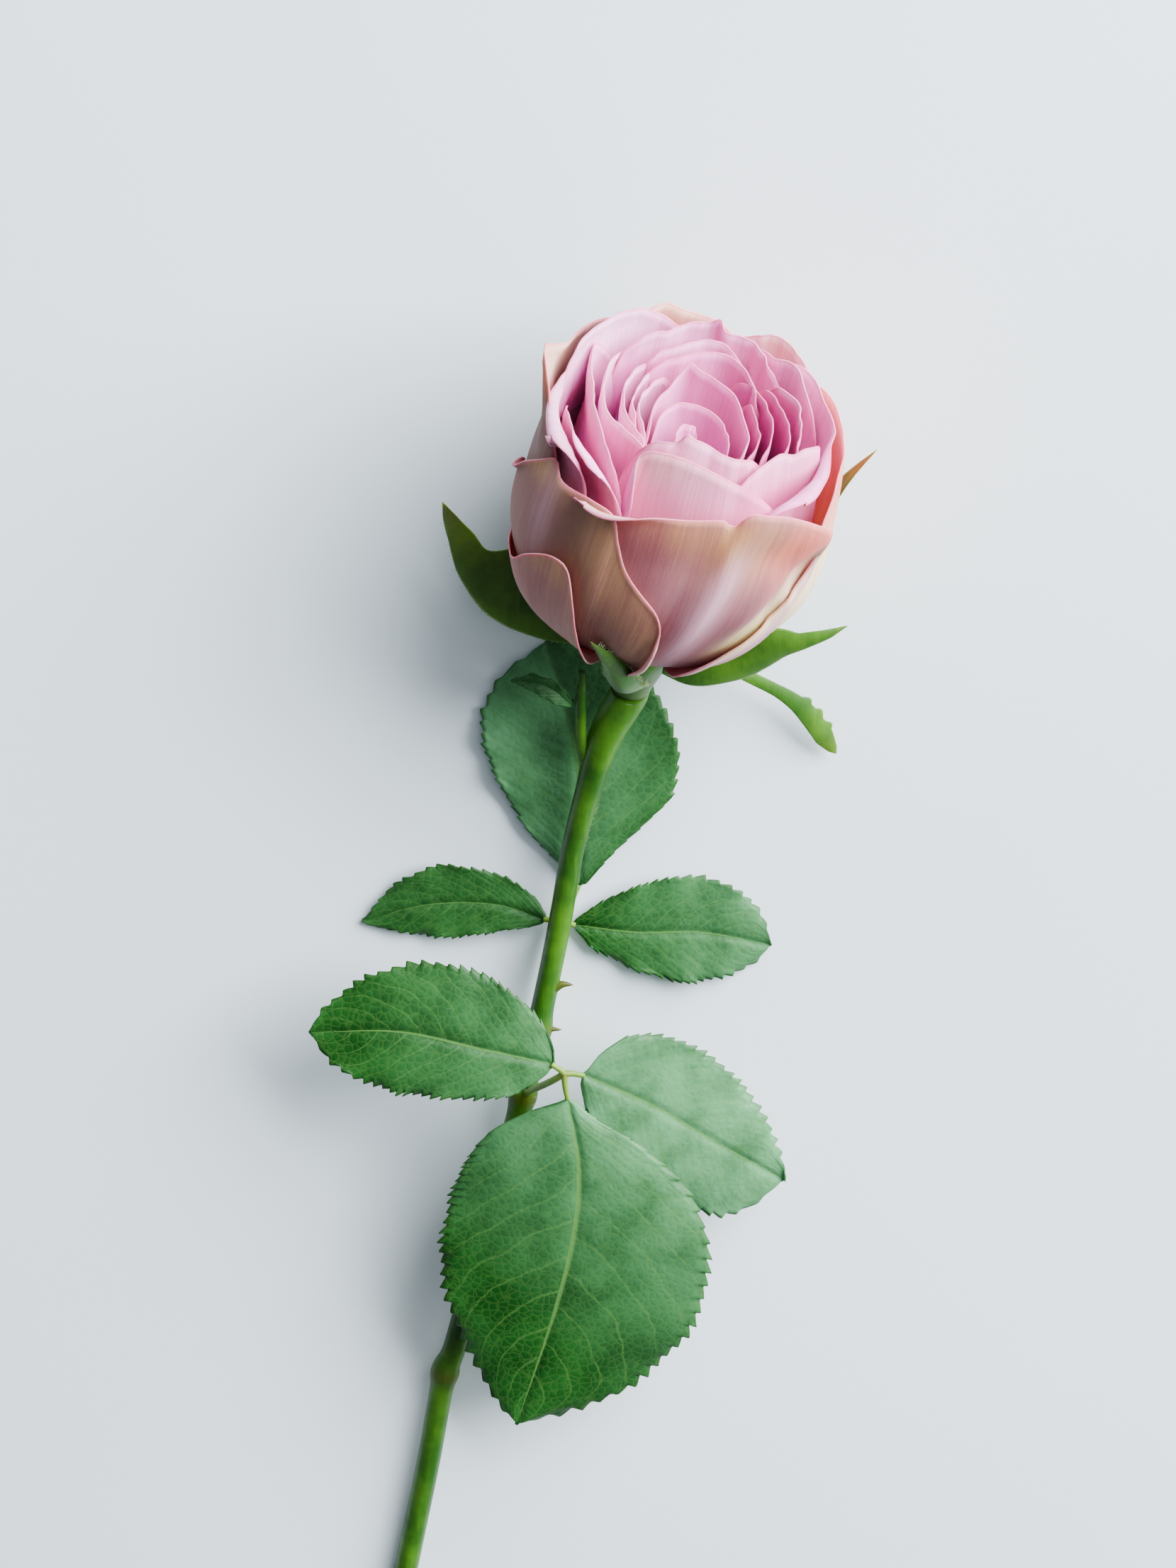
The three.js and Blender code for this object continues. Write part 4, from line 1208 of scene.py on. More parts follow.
def heart_petals() -> list[Petal]:
    """The spiral of small petals at the heart, outermost first."""
    lit = {Mask.PALE_AND_HIGHLIGHT: 0.35}
    shade = {Mask.DEEP_SHADE: 0.75}
    rims = [
        (((-148, 36, 19.6, 0), (-144, 45, 18.8, 0), (-137, 50.6, 18.6, 0.2), (-127, 51.8, 17.8, 0.3),
            (-116, 51.4, 17.2, 0.3), (-100, 50.8, 16.0, 0.4),
           (-88, 50.4, 15.2, 0.3), (-74, 50.2, 14.0, 0.3), (-60, 50.0, 13.2, 0.3), (-50, 49.4, 13.0, 0.2),
           (-44, 45, 14.2, 0), (-42, 35, 16.4, 0)), lit),
        (((2, 34, 18.0, 0), (6, 44, 16.0, 0), (16, 48.6, 14.4, 0), (28, 50.4, 13.8, 0.2),
            (42, 51.0, 13.9, 0.2), (56, 50.4, 14.2, 0.2), (66, 48, 15.0, 0),
           (72, 44, 16.4, 0), (75, 34, 18.4, 0)), shade),
        (((122, 34, 17.6, 0), (128, 45, 15.2, 0), (136, 50.6, 13.2, 0), (146, 53.2, 14.0, 0.2),
            (158, 54.2, 15.6, 0.3), (168, 54.6, 16.6, 0.3),
           (179, 54.8, 17.2, 0.3), (196, 54.6, 16.2, 0.3), (210, 54.0, 15.6, 0.3), (222, 53.2, 15.4, 0.3),
           (232, 51, 15.8, 0), (238, 44, 17.0, 0),
           (241, 34, 18.8, 0)), {}),
        (((-64, 34, 16.6, 0), (-60, 42, 15.0, 0), (-50, 47.6, 13.8, 0), (-38, 49.4, 13.0, 0.2),
            (-24, 50.0, 12.6, 0.2), (-10, 50.0, 12.9, 0.2), (2, 48.6, 13.4, 0),
           (10, 44, 14.8, 0), (13, 34, 17.0, 0)), shade),
        (((54, 34, 19.0, 0), (58, 44, 18.0, 0), (66, 49.6, 17.4, 0), (74, 51.6, 17.1, 0.2),
            (88, 52.6, 16.5, 0.3), (107, 53.0, 15.9, 0.3), (124, 53.2, 15.7, 0.3),
           (140, 53.0, 15.6, 0.2), (148, 48, 16.4, 0), (152, 36, 18.4, 0)), shade),
        (((-164, 34, 16.6, 0), (-159, 45, 15.4, 0), (-150, 50.8, 16.6, 0.2), (-142, 51.8, 16.6, 0.3),
            (-130, 51.4, 15.8, 0.3), (-119, 50.8, 15.2, 0.3),
           (-105, 50.2, 14.2, 0.3), (-92, 49.8, 13.4, 0.3), (-80, 49.2, 12.6, 0.2), (-70, 46, 12.8, 0),
           (-66, 36, 14.8, 0)), lit),
        (((-30, 34, 15.2, 0), (-26, 43, 13.2, 0), (-14, 47.8, 11.8, 0), (0, 48.8, 11.4, 0.2),
            (16, 48.8, 11.8, 0.2), (30, 48, 12.4, 0), (40, 43, 13.6, 0),
           (43, 34, 15.4, 0)), shade),
        (((52, 34, 16.4, 0), (57, 45, 14.6, 0), (64, 50.2, 13.8, 0.1), (76, 51.6, 13.6, 0.3),
            (92, 52.0, 13.3, 0.3), (108, 52.2, 13.2, 0.3), (121, 52.4, 13.4, 0.3),
           (135, 52.6, 14.0, 0.3), (149, 52.8, 14.2, 0.3), (160, 52.0, 14.0, 0.2), (168, 48, 14.2, 0),
           (172, 36, 16.0, 0)), shade),
        (((-156, 34, 14.6, 0), (-151, 45, 13.0, 0), (-143, 49.8, 14.2, 0.2), (-132, 50.6, 14.2, 0.3),
            (-118, 50.4, 13.4, 0.3), (-104, 50.0, 12.8, 0.3),
           (-88, 49.6, 12.0, 0.3), (-74, 49.2, 11.4, 0.3), (-60, 48.4, 11.2, 0.2), (-52, 44, 12.0, 0),
           (-49, 35, 13.6, 0)), lit),
        (((36, 34, 13.8, 0), (42, 44, 12.4, 0), (52, 48.8, 12.0, 0.1), (66, 50.0, 11.5, 0.3),
            (81, 50.4, 11.3, 0.3), (98, 50.6, 10.9, 0.3), (112, 50.8, 10.9, 0.3),
           (126, 51.0, 11.3, 0.3), (140, 50.8, 12.0, 0.2), (150, 47, 12.6, 0), (154, 36, 14.2, 0)), shade),
        (((-56, 36, 12.6, 0), (-60, 45, 10.8, 0), (-74, 48.6, 9.9, 0.2), (-92, 49.8, 9.8, 0.3),
            (-112, 50.4, 9.9, 0.3), (-132, 51.2, 10.6, 0.3), (-148, 52.4, 12.4, 0.2),
           (-158, 54.4, 13.6, 0.1), (-168, 53.2, 12.6, 0.3), (-190, 52.6, 11.0, 0.3),
           (-210, 52.0, 9.8, 0.3), (-234, 51.0, 8.8, 0.3), (-266, 50.4, 8.9, 0.3),
           (-298, 49.6, 10.0, 0.2), (-312, 45, 10.8, 0), (-316, 36, 12.4, 0)), {}),
        (((-20, 34, 7.4, 0), (-26, 43, 6.0, 0), (-44, 46.6, 5.2, 0), (-70, 47.8, 4.6, 0.1),
            (-100, 48.2, 3.9, 0.1), (-130, 48.0, 3.2, 0.1), (-160, 47, 3.0, 0),
           (-176, 43, 3.6, 0), (-182, 34, 5.2, 0)), {}),
        (((-72, 34, 10.4, 0), (-76, 43, 8.8, 0), (-88, 47.4, 8.2, 0.1), (-103, 48.6, 8.0, 0.2),
            (-126, 49.0, 8.1, 0.2), (-148, 49.4, 7.9, 0.3), (-170, 49.2, 7.0, 0.3),
           (-195, 49.0, 6.2, 0.3), (-225, 48.6, 5.6, 0.3), (-256, 48.2, 5.6, 0.2), (-290, 47.4, 6.4, 0.2),
           (-310, 43, 7.4, 0), (-316, 34, 9.2, 0)), {}),
    ]
    made = []
    for i, (rim, tones) in enumerate(rims):
        ordered = rim if rim[0][0] < rim[-1][0] else tuple(reversed(rim))
        turns = [point[0] for point in ordered]
        middle = (turns[0] + turns[-1]) / 2
        half = (turns[-1] - turns[0]) / 2
        made.append(
            Petal(
                f"petal_middle_{i + 1:02d}", Slot.INNER, ordered, foot=4.6 + 0.25 * i,
                base=(middle, half * 0.8), seed=41 + i,
                wave=0.25, waves=7, thickness=0.28, columns=57 if half < 100 else 81, rows=26, tones=tones,
                lean=0.0 if abs(middle) < 45 else 0.12,
            )
        )
    return made


class Bloom:
    """All petals of the rose."""

    def __init__(self, plant: PlantFrame, wardrobe: Wardrobe) -> None:
        """Keeps where the bloom stands and its finishes."""
        self.plant = plant
        self.wardrobe = wardrobe

    def build(self) -> list[bpy.types.Object]:
        """Models every petal, guards first."""
        w = self.wardrobe
        pieces = [petal.build(self.plant, w.guard_out, w.guard_in) for petal in guards()]
        for petal in ring_petals() + heart_petals():
            pieces.append(petal.build(self.plant, w.inner_out, w.inner_in))
        return pieces


# ---------------------------------------------------------------------------------------------
# Leaves
# ---------------------------------------------------------------------------------------------


@dataclass
class Leaflet:
    """One toothed leaflet laid along its midrib.

    The outline is (share along, width to the left of travel, width to the right) in millimetres.
    """

    node: str
    rib: tuple[tuple[float, float, float], ...]
    outline: tuple[tuple[float, float, float], ...]
    teeth: int = 18
    tooth: float = 1.1
    roll: float = 0.0
    arch: float = 0.10
    fold: float = 0.06
    seed: int = 3
    rows: int = 150
    columns: int = 41
    thickness: float = 0.34
    # painted sheen: level, gain towards the foot, gain towards the left
    painted_sheen: tuple[float, float, float] = (0.1, 0.0, 0.0)
    slot: Slot = Slot.LEAF

    def build(self, plant: PlantFrame, finish: bpy.types.Material) -> bpy.types.Object:
        """Models and dresses the leaflet.

        Args:
            plant: where the rose lies.
            finish: the blade's finish.

        Returns:
            The finished object.
        """
        rng = np.random.default_rng(self.seed)
        line = spline(plant.table(self.rib), self.rows)
        share = np.linspace(0.0, 1.0, self.rows)
        table = np.array(self.outline)
        left = np.interp(share, table[:, 0], table[:, 1])
        right = np.interp(share, table[:, 0], table[:, 2])
        kernel = np.ones(7) / 7.0
        left = np.convolve(np.pad(left, 3, mode="edge"), kernel, mode="valid")
        right = np.convolve(np.pad(right, 3, mode="edge"), kernel, mode="valid")
        taper = smooth_step(0.0, 0.02, share) * smooth_step(0.0, 0.012, 1.0 - share)
        left, right = left * taper, right * taper
        along = unit_rows(np.gradient(line, axis=0))
        side = unit_rows(np.cross(along, UP))
        up = np.cross(side, along)
        tilt = math.radians(self.roll)
        side, up = side * math.cos(tilt) + up * math.sin(tilt), up * math.cos(tilt) - side * math.sin(tilt)
        across = np.linspace(-1.0, 1.0, self.columns)
        width = np.where(across[None, :] > 0, left[:, None], right[:, None])
        offset = across[None, :] * width
        reach, forward = self._teeth(share, across, rng)
        edge_room = np.minimum(width, 6.0) / 6.0
        offset = offset + np.sign(across)[None, :] * reach * edge_room
        spread = np.abs(across)[None, :]
        droop = -self.arch * width * spread**2 + self.fold * width * spread * 0.8
        droop = droop + self._quilt(share, across, width, rng)
        points = line[:, None, :] + offset[..., None] * side[:, None, :] + droop[..., None] * up[:, None, :]
        points = points + (forward * edge_room)[..., None] * along[:, None, :]
        masks = {
            "along": np.repeat(share[:, None], self.columns, axis=1),
            "across": np.repeat(across[None, :], self.rows, axis=0),
        }
        # Painted sheen: a level, more towards the foot and more towards one side.
        level, towards_foot, towards_left = self.painted_sheen
        masks["painted_sheen"] = np.clip(level + towards_foot * (0.5 - masks["along"]) * 2.0 + towards_left
            * masks["across"], 0.0, 1.0)
        maker = MeshMaker(self.node.replace("_", "-"))
        maker.grid(points, masks)
        piece = maker.finish((finish,), outward=False)
        for polygon in piece.data.polygons[:1]:
            if polygon.normal.z < 0:
                piece.data.flip_normals()
        shell = piece.modifiers.new("thickness", "SOLIDIFY")
        shell.thickness = self.thickness * MM
        shell.offset = -1.0
        return dress(piece, self.slot, self.node)

    def _teeth(
        self, share: np.ndarray, across: np.ndarray, rng: np.random.Generator
    ) -> tuple[np.ndarray, np.ndarray]:
        """Outward and forward shift of the margin at each tooth."""
        reach = np.zeros((len(share), len(across)))
        forward = np.zeros_like(reach)
        for sign in (-1.0, 1.0):
            start = rng.uniform(0.0, 1.0)
            size = 1.0 + 0.35 * np.sin(share * 37.0 + rng.uniform(0, FULL_TURN)) * rng.uniform(0.5, 1.0)
            phase = (share**0.93 * self.teeth + start) % 1.0
            profile = np.where(phase < 0.78, phase / 0.78, (1.0 - phase) / 0.22)
            envelope = smooth_step(0.02, 0.10, share) * smooth_step(0.0, 0.03, 1.0 - share)
            strength = self.tooth * profile * size * envelope
            near = np.clip((np.abs(across) - 0.86) / 0.14, 0.0, 1.0) ** 1.5 * (np.sign(across) == sign)
            reach += strength[:, None] * near[None, :]
            forward += 0.55 * strength[:, None] * near[None, :]
        return reach - 0.45 * self.tooth * (np.abs(across)[None, :] > 0.93), forward

    def _quilt(
        self, share: np.ndarray, across: np.ndarray, width: np.ndarray, rng: np.random.Generator
    ) -> np.ndarray:
        """Puffed panels between side veins, a sunk midrib and a slow twist."""
        spread = np.abs(across)[None, :]
        flow = share[:, None] - VEIN_SWEEP * spread**VEIN_ARCH
        phase = flow * SIDE_VEINS + VEIN_SHIFT * (across[None, :] > 0)
        puff = 0.07 * np.sin(math.pi * (phase % 1.0)) * smooth_step(0.02, 0.2, spread) * smooth_step(0.0,
            0.25, 1.0 - spread)
        groove = -0.35 * np.exp(-((spread * width / 0.8) ** 2))
        slow = 0.5 * np.sin(2 * math.pi * (share[:, None] * 1.3 + 0.4 * across[None, :]) + rng.uniform(0,
            FULL_TURN)) * spread**2
        rim = 0.45 * np.sin(2 * math.pi * share[:, None] * 4.3 + rng.uniform(0,
            FULL_TURN) + 2.0 * np.sign(across)[None, :])
        return puff + groove + slow + rim * spread**6


def leaflets() -> list[Leaflet]:
    """The two compound leaves' six leaflets and the bract on the side shoot."""
    return [
        Leaflet(
            "leaf_top_end", ((-15.9, -99.6, 20.7), (-13.6, -114, 21.4), (-14.5, -129, 21),
                (-18.6, -148, 19.4), (-27, -177, 15.5)),
            ((0, 2.5, 1.0), (0.03, 12, 2.4), (0.05, 17, 3.4), (0.09, 20.8, 6.2), (0.15, 23.2, 12.8),
                (0.21, 24.7, 18.6), (0.27, 25.6, 23.5),
             (0.32, 26.2, 26.1), (0.36, 26.5, 27.9), (0.42, 26.7, 28.9), (0.48, 26.6, 29.5),
             (0.54, 26.0, 29.5), (0.61, 24.4, 28.4),
             (0.66, 22.6, 26.6), (0.72, 19.9, 24.3), (0.80, 15.4, 20.8), (0.86, 11.6, 15.8),
             (0.91, 8.2, 11.2), (0.96, 3.8, 5.2), (1.0, 0, 0)),
            teeth=29, tooth=1.25, painted_sheen=(0.16, 0.42, -0.18), arch=0.13, fold=0.05, seed=61, rows=240,
            columns=57,
        ),
        Leaflet(
            "leaf_top_left", ((-18.6, -92, 21.4), (-32, -88.6, 22.3), (-50, -84.6, 22),
                (-68.4, -85.7, 19.6)),
            ((0, 0.8, 0.8), (0.04, 5.2, 4.0), (0.08, 7.9, 6.0), (0.13, 10, 8.0), (0.2, 12.2, 9.5),
                (0.35, 15.4, 11.6), (0.52, 15.4, 12.8), (0.6, 14.4, 13.0),
             (0.67, 12.9, 12.4), (0.75, 11.2, 11.2), (0.84, 8.4, 9.4), (0.93, 4.8, 5.6), (1.0, 0, 0)),
            teeth=24, tooth=0.95, painted_sheen=(0.12, 0.2, 0.0), roll=-8, arch=0.12, fold=0.10, seed=62, rows=200,
            columns=49,
        ),
        Leaflet(
            "leaf_top_right", ((-12.9, -94.6, 20.4), (2, -103.3, 16.8), (16.1, -113.5, 13.4),
                (29.2, -122.9, 9.8)),
            ((0, 0.8, 0.8), (0.02, 2.5, 6.0), (0.08, 6.5, 11.0), (0.18, 11.0, 13.6), (0.3, 14.5, 15.0),
                (0.45, 16.2, 14.6), (0.62, 16.4, 12.9), (0.78, 15.0, 9.4),
             (0.86, 13.6, 6.6), (0.93, 10.6, 4.0), (0.97, 6.5, 2.0), (1.0, 0, 0)),
            teeth=22, tooth=0.95, painted_sheen=(0.8, -0.1, 0.0), roll=6, arch=0.12, fold=0.06, seed=63, rows=200,
            columns=49,
        ),
        Leaflet(
            "leaf_low_end", ((-13.6, -60.2, 2.4), (-13.2, -46, 2.8), (-14.6, -29, 2.6), (-20, -8, 1.6)),
            ((0, 0.8, 0.8), (0.08, 4.0, 4.5), (0.15, 7.4, 8.0), (0.22, 11.5, 10.8), (0.35, 19.0, 14.4),
                (0.5, 20.9, 17.2), (0.65, 19.4, 18.2),
             (0.78, 16.8, 17.2), (0.9, 11.0, 12.0), (1.0, 0, 0)),
            teeth=22, tooth=0.8, painted_sheen=(0.5, -0.1, -0.35), arch=0.03, fold=0.05, seed=64, rows=180,
            columns=45,
        ),
        Leaflet(
            "leaf_low_left", ((-20.4, -67.6, 2.5), (-31, -64, 3), (-45, -64.2, 2.6), (-58.4, -68.5, 1)),
            ((0, 0.6, 0.6), (0.07, 2.9, 2.6), (0.16, 4.8, 4.4), (0.25, 6.4, 5.8), (0.5, 8.6, 7.7),
                (0.62, 7.8, 7.2), (0.75, 5.8, 5.8), (0.9, 2.8, 2.6), (1.0, 0, 0)),
            teeth=20, tooth=0.65, painted_sheen=(0.08, 0.0, 0.0), arch=0.04, fold=0.06, seed=65, rows=170, columns=41,
        ),
        Leaflet(
            "leaf_low_right", ((-14.9, -68.7, 2.5), (-2, -70.2, 3), (12, -70.4, 2.6), (26.2, -73.8, 1)),
            ((0, 0.6, 0.6), (0.1, 4.4, 5.2), (0.2, 6.2, 8.2), (0.29, 7.8, 10.3), (0.5, 10.8, 12.3),
                (0.6, 10.9, 12.2), (0.72, 10.2, 11.0), (0.88, 7.2, 7.4),
             (0.95, 4.6, 3.6), (1.0, 0, 0)),
            teeth=20, tooth=0.8, painted_sheen=(0.25, -0.3, 0.0), arch=0.04, fold=0.06, seed=66, rows=170, columns=41,
        ),
        Leaflet(
            "side_bract", ((-14.9, -18.4, 12.6), (-19, -14.4, 14.6), (-23, -12.6, 15.4),
                (-27, -12.6, 14.8)),
            ((0, 0.5, 0.5), (0.2, 1.5, 1.8), (0.5, 2.0, 2.4), (0.8, 1.2, 1.5), (1.0, 0, 0)),
            teeth=8, tooth=0.4, painted_sheen=(0.2, 0.0, 0.0), arch=0.05, fold=0.25, seed=67, rows=60, columns=21,
            thickness=0.3,
        ),
    ]


# ---------------------------------------------------------------------------------------------
# Calyx
# ---------------------------------------------------------------------------------------------


@dataclass
class Sepal:
    """One sepal: a tapering boat-shaped blade along a line around the bloom.

    The line is (turn in degrees, radius, height); the widths are (share along, left, right).
    """

    node: str
    line: tuple[tuple[float, float, float], ...]
    widths: tuple[tuple[float, float, float], ...]
    boat: float = 0.3
    face: float = 0.0
    hairs: int = 120
    seed: int = 5
    tinge: float = 0.1
    tip_blush: float = 0.15
    lobes: tuple[tuple[float, float, float, float], ...] = ()

    def build(
        self, plant: PlantFrame, finish: bpy.types.Material, wool: bpy.types.Material
    ) -> bpy.types.Object:
        """Models and dresses the sepal with its margin hairs.

        Args:
            plant: where the bloom stands.
            finish: the blade's finish.
            wool: the hairs' finish.

        Returns:
            The finished object.
        """
        rng = np.random.default_rng(self.seed)
        rows, columns = 70, 17
        track = np.array([plant.bloom(np.array(r), np.radians(np.array(t)), np.array(h)) for t, r,
            h in self.line])
        line = spline(track, rows)
        share = np.linspace(0.0, 1.0, rows)
        table = np.array(self.widths)
        left = np.interp(share, table[:, 0], table[:, 1])
        right = np.interp(share, table[:, 0], table[:, 2])
        for spot, size, side_sign, spread in self.lobes:
            bump = size * np.exp(-(((share - spot) / spread) ** 4))
            left, right = (left + bump, right) if side_sign > 0 else (left, right + bump)
        along = unit_rows(np.gradient(line, axis=0))
        centre = plant.seat + ((line - plant.seat) @ plant.axis)[:, None] * plant.axis
        outward = unit_rows(unit_rows(line - centre) * (1.0 - self.face) + UP * self.face)
        outward = unit_rows(outward - (np.sum(outward * along, axis=1)[:, None]) * along)
        side = np.cross(along, outward)
        across = np.linspace(-1.0, 1.0, columns)
        width = np.where(across[None, :] > 0, left[:, None], right[:, None])
        cup = -self.boat * width * across[None, :] ** 2
        points = line[:, None, :] + (across[None, :] * width)[..., None] * side[:, None, :]
        points = points + cup[..., None] * outward[:, None, :]
        masks = {"along": np.repeat((self.tinge * share + self.tip_blush * smooth_step(0.85, 1.0, share))[:,
            None], columns, axis=1)}
        maker = MeshMaker(self.node.replace("_", "-"))
        maker.grid(points, masks)
        closing = np.minimum(1.0, 20.0 * np.minimum(share, 1.0 - share))[:, None]
        depth = 0.55 * closing * np.minimum(1.0, width / 1.2) * (1 - across[None, ::-1] ** 4)
        maker.grid(points[:, ::-1] - depth[..., None] * outward[:, None, :], masks)
        maker.seal()
        self._hair(maker, points, outward, rng)
        piece = maker.finish((finish, wool), outward=False)
        return dress(piece, Slot.SEPAL, self.node)

    def _hair(
        self, maker: MeshMaker, points: np.ndarray, outward: np.ndarray, rng: np.random.Generator
    ) -> None:
        """Stands short hairs along both margins."""
        rows, columns = points.shape[:2]
        for _ in range(self.hairs):
            i = int(rng.integers(2, rows - 4))
            j = 0 if rng.random() < 0.5 else columns - 1
            inner = points[i, 2 if j == 0 else columns - 3]
            root = points[i, j]
            lean = unit_rows(unit_rows(root - inner) + rng.normal(0, 0.35, 3))
            maker.hair(root, lean, length=rng.uniform(0.5, 1.3), radius=0.035, sink=0.42)


def cup_radius(layer: float, height: float) -> float:
    """Radius of the bloom's skin at a height, layer millimetres inside the widest ring."""
    girth = WIDEST - layer
    above = height - WIDEST
    if above >= 0:
        return girth * (1 - CLOSING * (above / CLOSING_RUN) ** 2)
    return girth * max(1 - (above / girth) ** 2, 0) ** (0.5 * FULLNESS)


def sepals() -> list[Sepal]:
    """The five sepals."""
    skin = cup_radius
    return [
        Sepal(
            "sepal_left", ((-95, 6.6, -5.4), (-93, 14, -7.0), (-88, 27, -4.5), (-90, 35, 0.5), (-92, 41, 8),
                (-91, 44.5, 15.5)),
            ((0, 2.4, 2.4), (0.25, 4.2, 4.0), (0.5, 4.8, 4.2), (0.68, 4.4, 3.2), (0.8, 3.6, 1.9),
                (0.92, 1.7, 1.1), (1, 0.1, 0.1)),
            boat=0.16, face=0.78, seed=71, tinge=0.32, lobes=((0.53, 11.0, 1, 0.13),),
        ),
        Sepal(
            "sepal_front", ((-12, 6.6, -5.4), (-6, 14, -4.6), (-4, 22.5, 0.4), (-10, skin(-3.4, 8), 8),
                (-18, skin(-3.2, 17), 17)),
            ((0, 2.4, 2.4), (0.3, 3.7, 3.7), (0.6, 3.1, 3.1), (0.85, 1.5, 1.5), (1, 0.1, 0.1)),
            boat=0.75, hairs=420, seed=72,
        ),
        Sepal(
            "sepal_right", ((52, 6.6, -5.4), (66, 13, -5.2), (76, 19, -2), (81, 23.5, 2), (83.5, 26.8, 5.4),
                (85.5, 30.2, 7.6), (88.5, 34.2, 9.7), (92, 37.6, 11.4)),
            ((0, 2.4, 2.4), (0.25, 2.6, 2.6), (0.45, 3.0, 4.2), (0.56, 2.6, 7.4), (0.64, 2.3, 4.8),
                (0.75, 1.8, 2.0), (0.9, 1.0, 1.0), (1, 0.1, 0.1)),
            boat=0.22, face=0.75, seed=73,
        ),
        Sepal(
            "sepal_reflexed", ((112, 6.6, -6.4), (110, 14, -9.5), (106, 24, -12.5), (103, 35, -17.5),
                (100, 44.5, -27)),
            ((0, 1.6, 1.6), (0.3, 1.2, 1.2), (0.55, 1.3, 1.3), (0.75, 2.1, 2.0), (0.9, 2.1, 2.0),
                (0.97, 1.1, 1.1), (1, 0.2, 0.2)),
            boat=0.15, face=0.85, hairs=60, seed=74, lobes=((0.7, 0.8, -1, 0.02), (0.78, 0.8, -1, 0.02),
                (0.86, 0.8, -1, 0.02)),
        ),
        Sepal(
            "sepal_far_right", ((163, 6.6, -5.4), (152, 16, -3.5), (136, skin(-3, 8), 8),
                (124, skin(-2.6, 20), 20), (119, skin(-4, 34), 34),
                                (116, 37.5, 43)),
            ((0, 2.2, 2.2), (0.3, 3.4, 3.4), (0.6, 2.6, 2.6), (0.85, 1.3, 1.3), (1, 0.1, 0.1)),
            boat=0.3, seed=75, tinge=0.6, tip_blush=0.9,
        ),
    ]


class Calyx:
    """Hip and sepals under the bloom."""

    HIP = ((3.9, -17.2), (4.2, -15.4), (4.7, -13.6), (5.3, -11.4), (5.8, -9.35), (6.15, -7.6), (6.2, -6.1),
        (5.7, -4.15), (4.7, -3.3), (4.3, -2.4),
           (5.2, -1.2), (5.2, 0.2), (3.8, 1.2), (1.8, 1.6))

    def __init__(self, plant: PlantFrame, wardrobe: Wardrobe) -> None:
        """Keeps where the bloom stands and its finishes."""
        self.plant = plant
        self.wardrobe = wardrobe

    def build(self) -> list[bpy.types.Object]:
        """Models the hip and the five sepals."""
        pieces = [self._hip()]
        pieces += [sepal.build(self.plant, self.wardrobe.sepal, self.wardrobe.wool) for sepal in sepals()]
        return pieces

    def _hip(self) -> bpy.types.Object:
        """The round hip that carries the petals."""
        profile = spline(self.HIP, 24)
        heights, radii = profile[:, 1], profile[:, 0]
        path = self.plant.seat + heights[:, None] * self.plant.axis
        maker = MeshMaker("hip-body")
        maker.tube(path, radii, 40, {"along": np.linspace(0.25, 0.0, len(path))})
        piece = maker.finish((self.wardrobe.hip,))
        return dress(piece, Slot.SEPAL, "hip")


# ---------------------------------------------------------------------------------------------
# Stem and stalks
# ---------------------------------------------------------------------------------------------


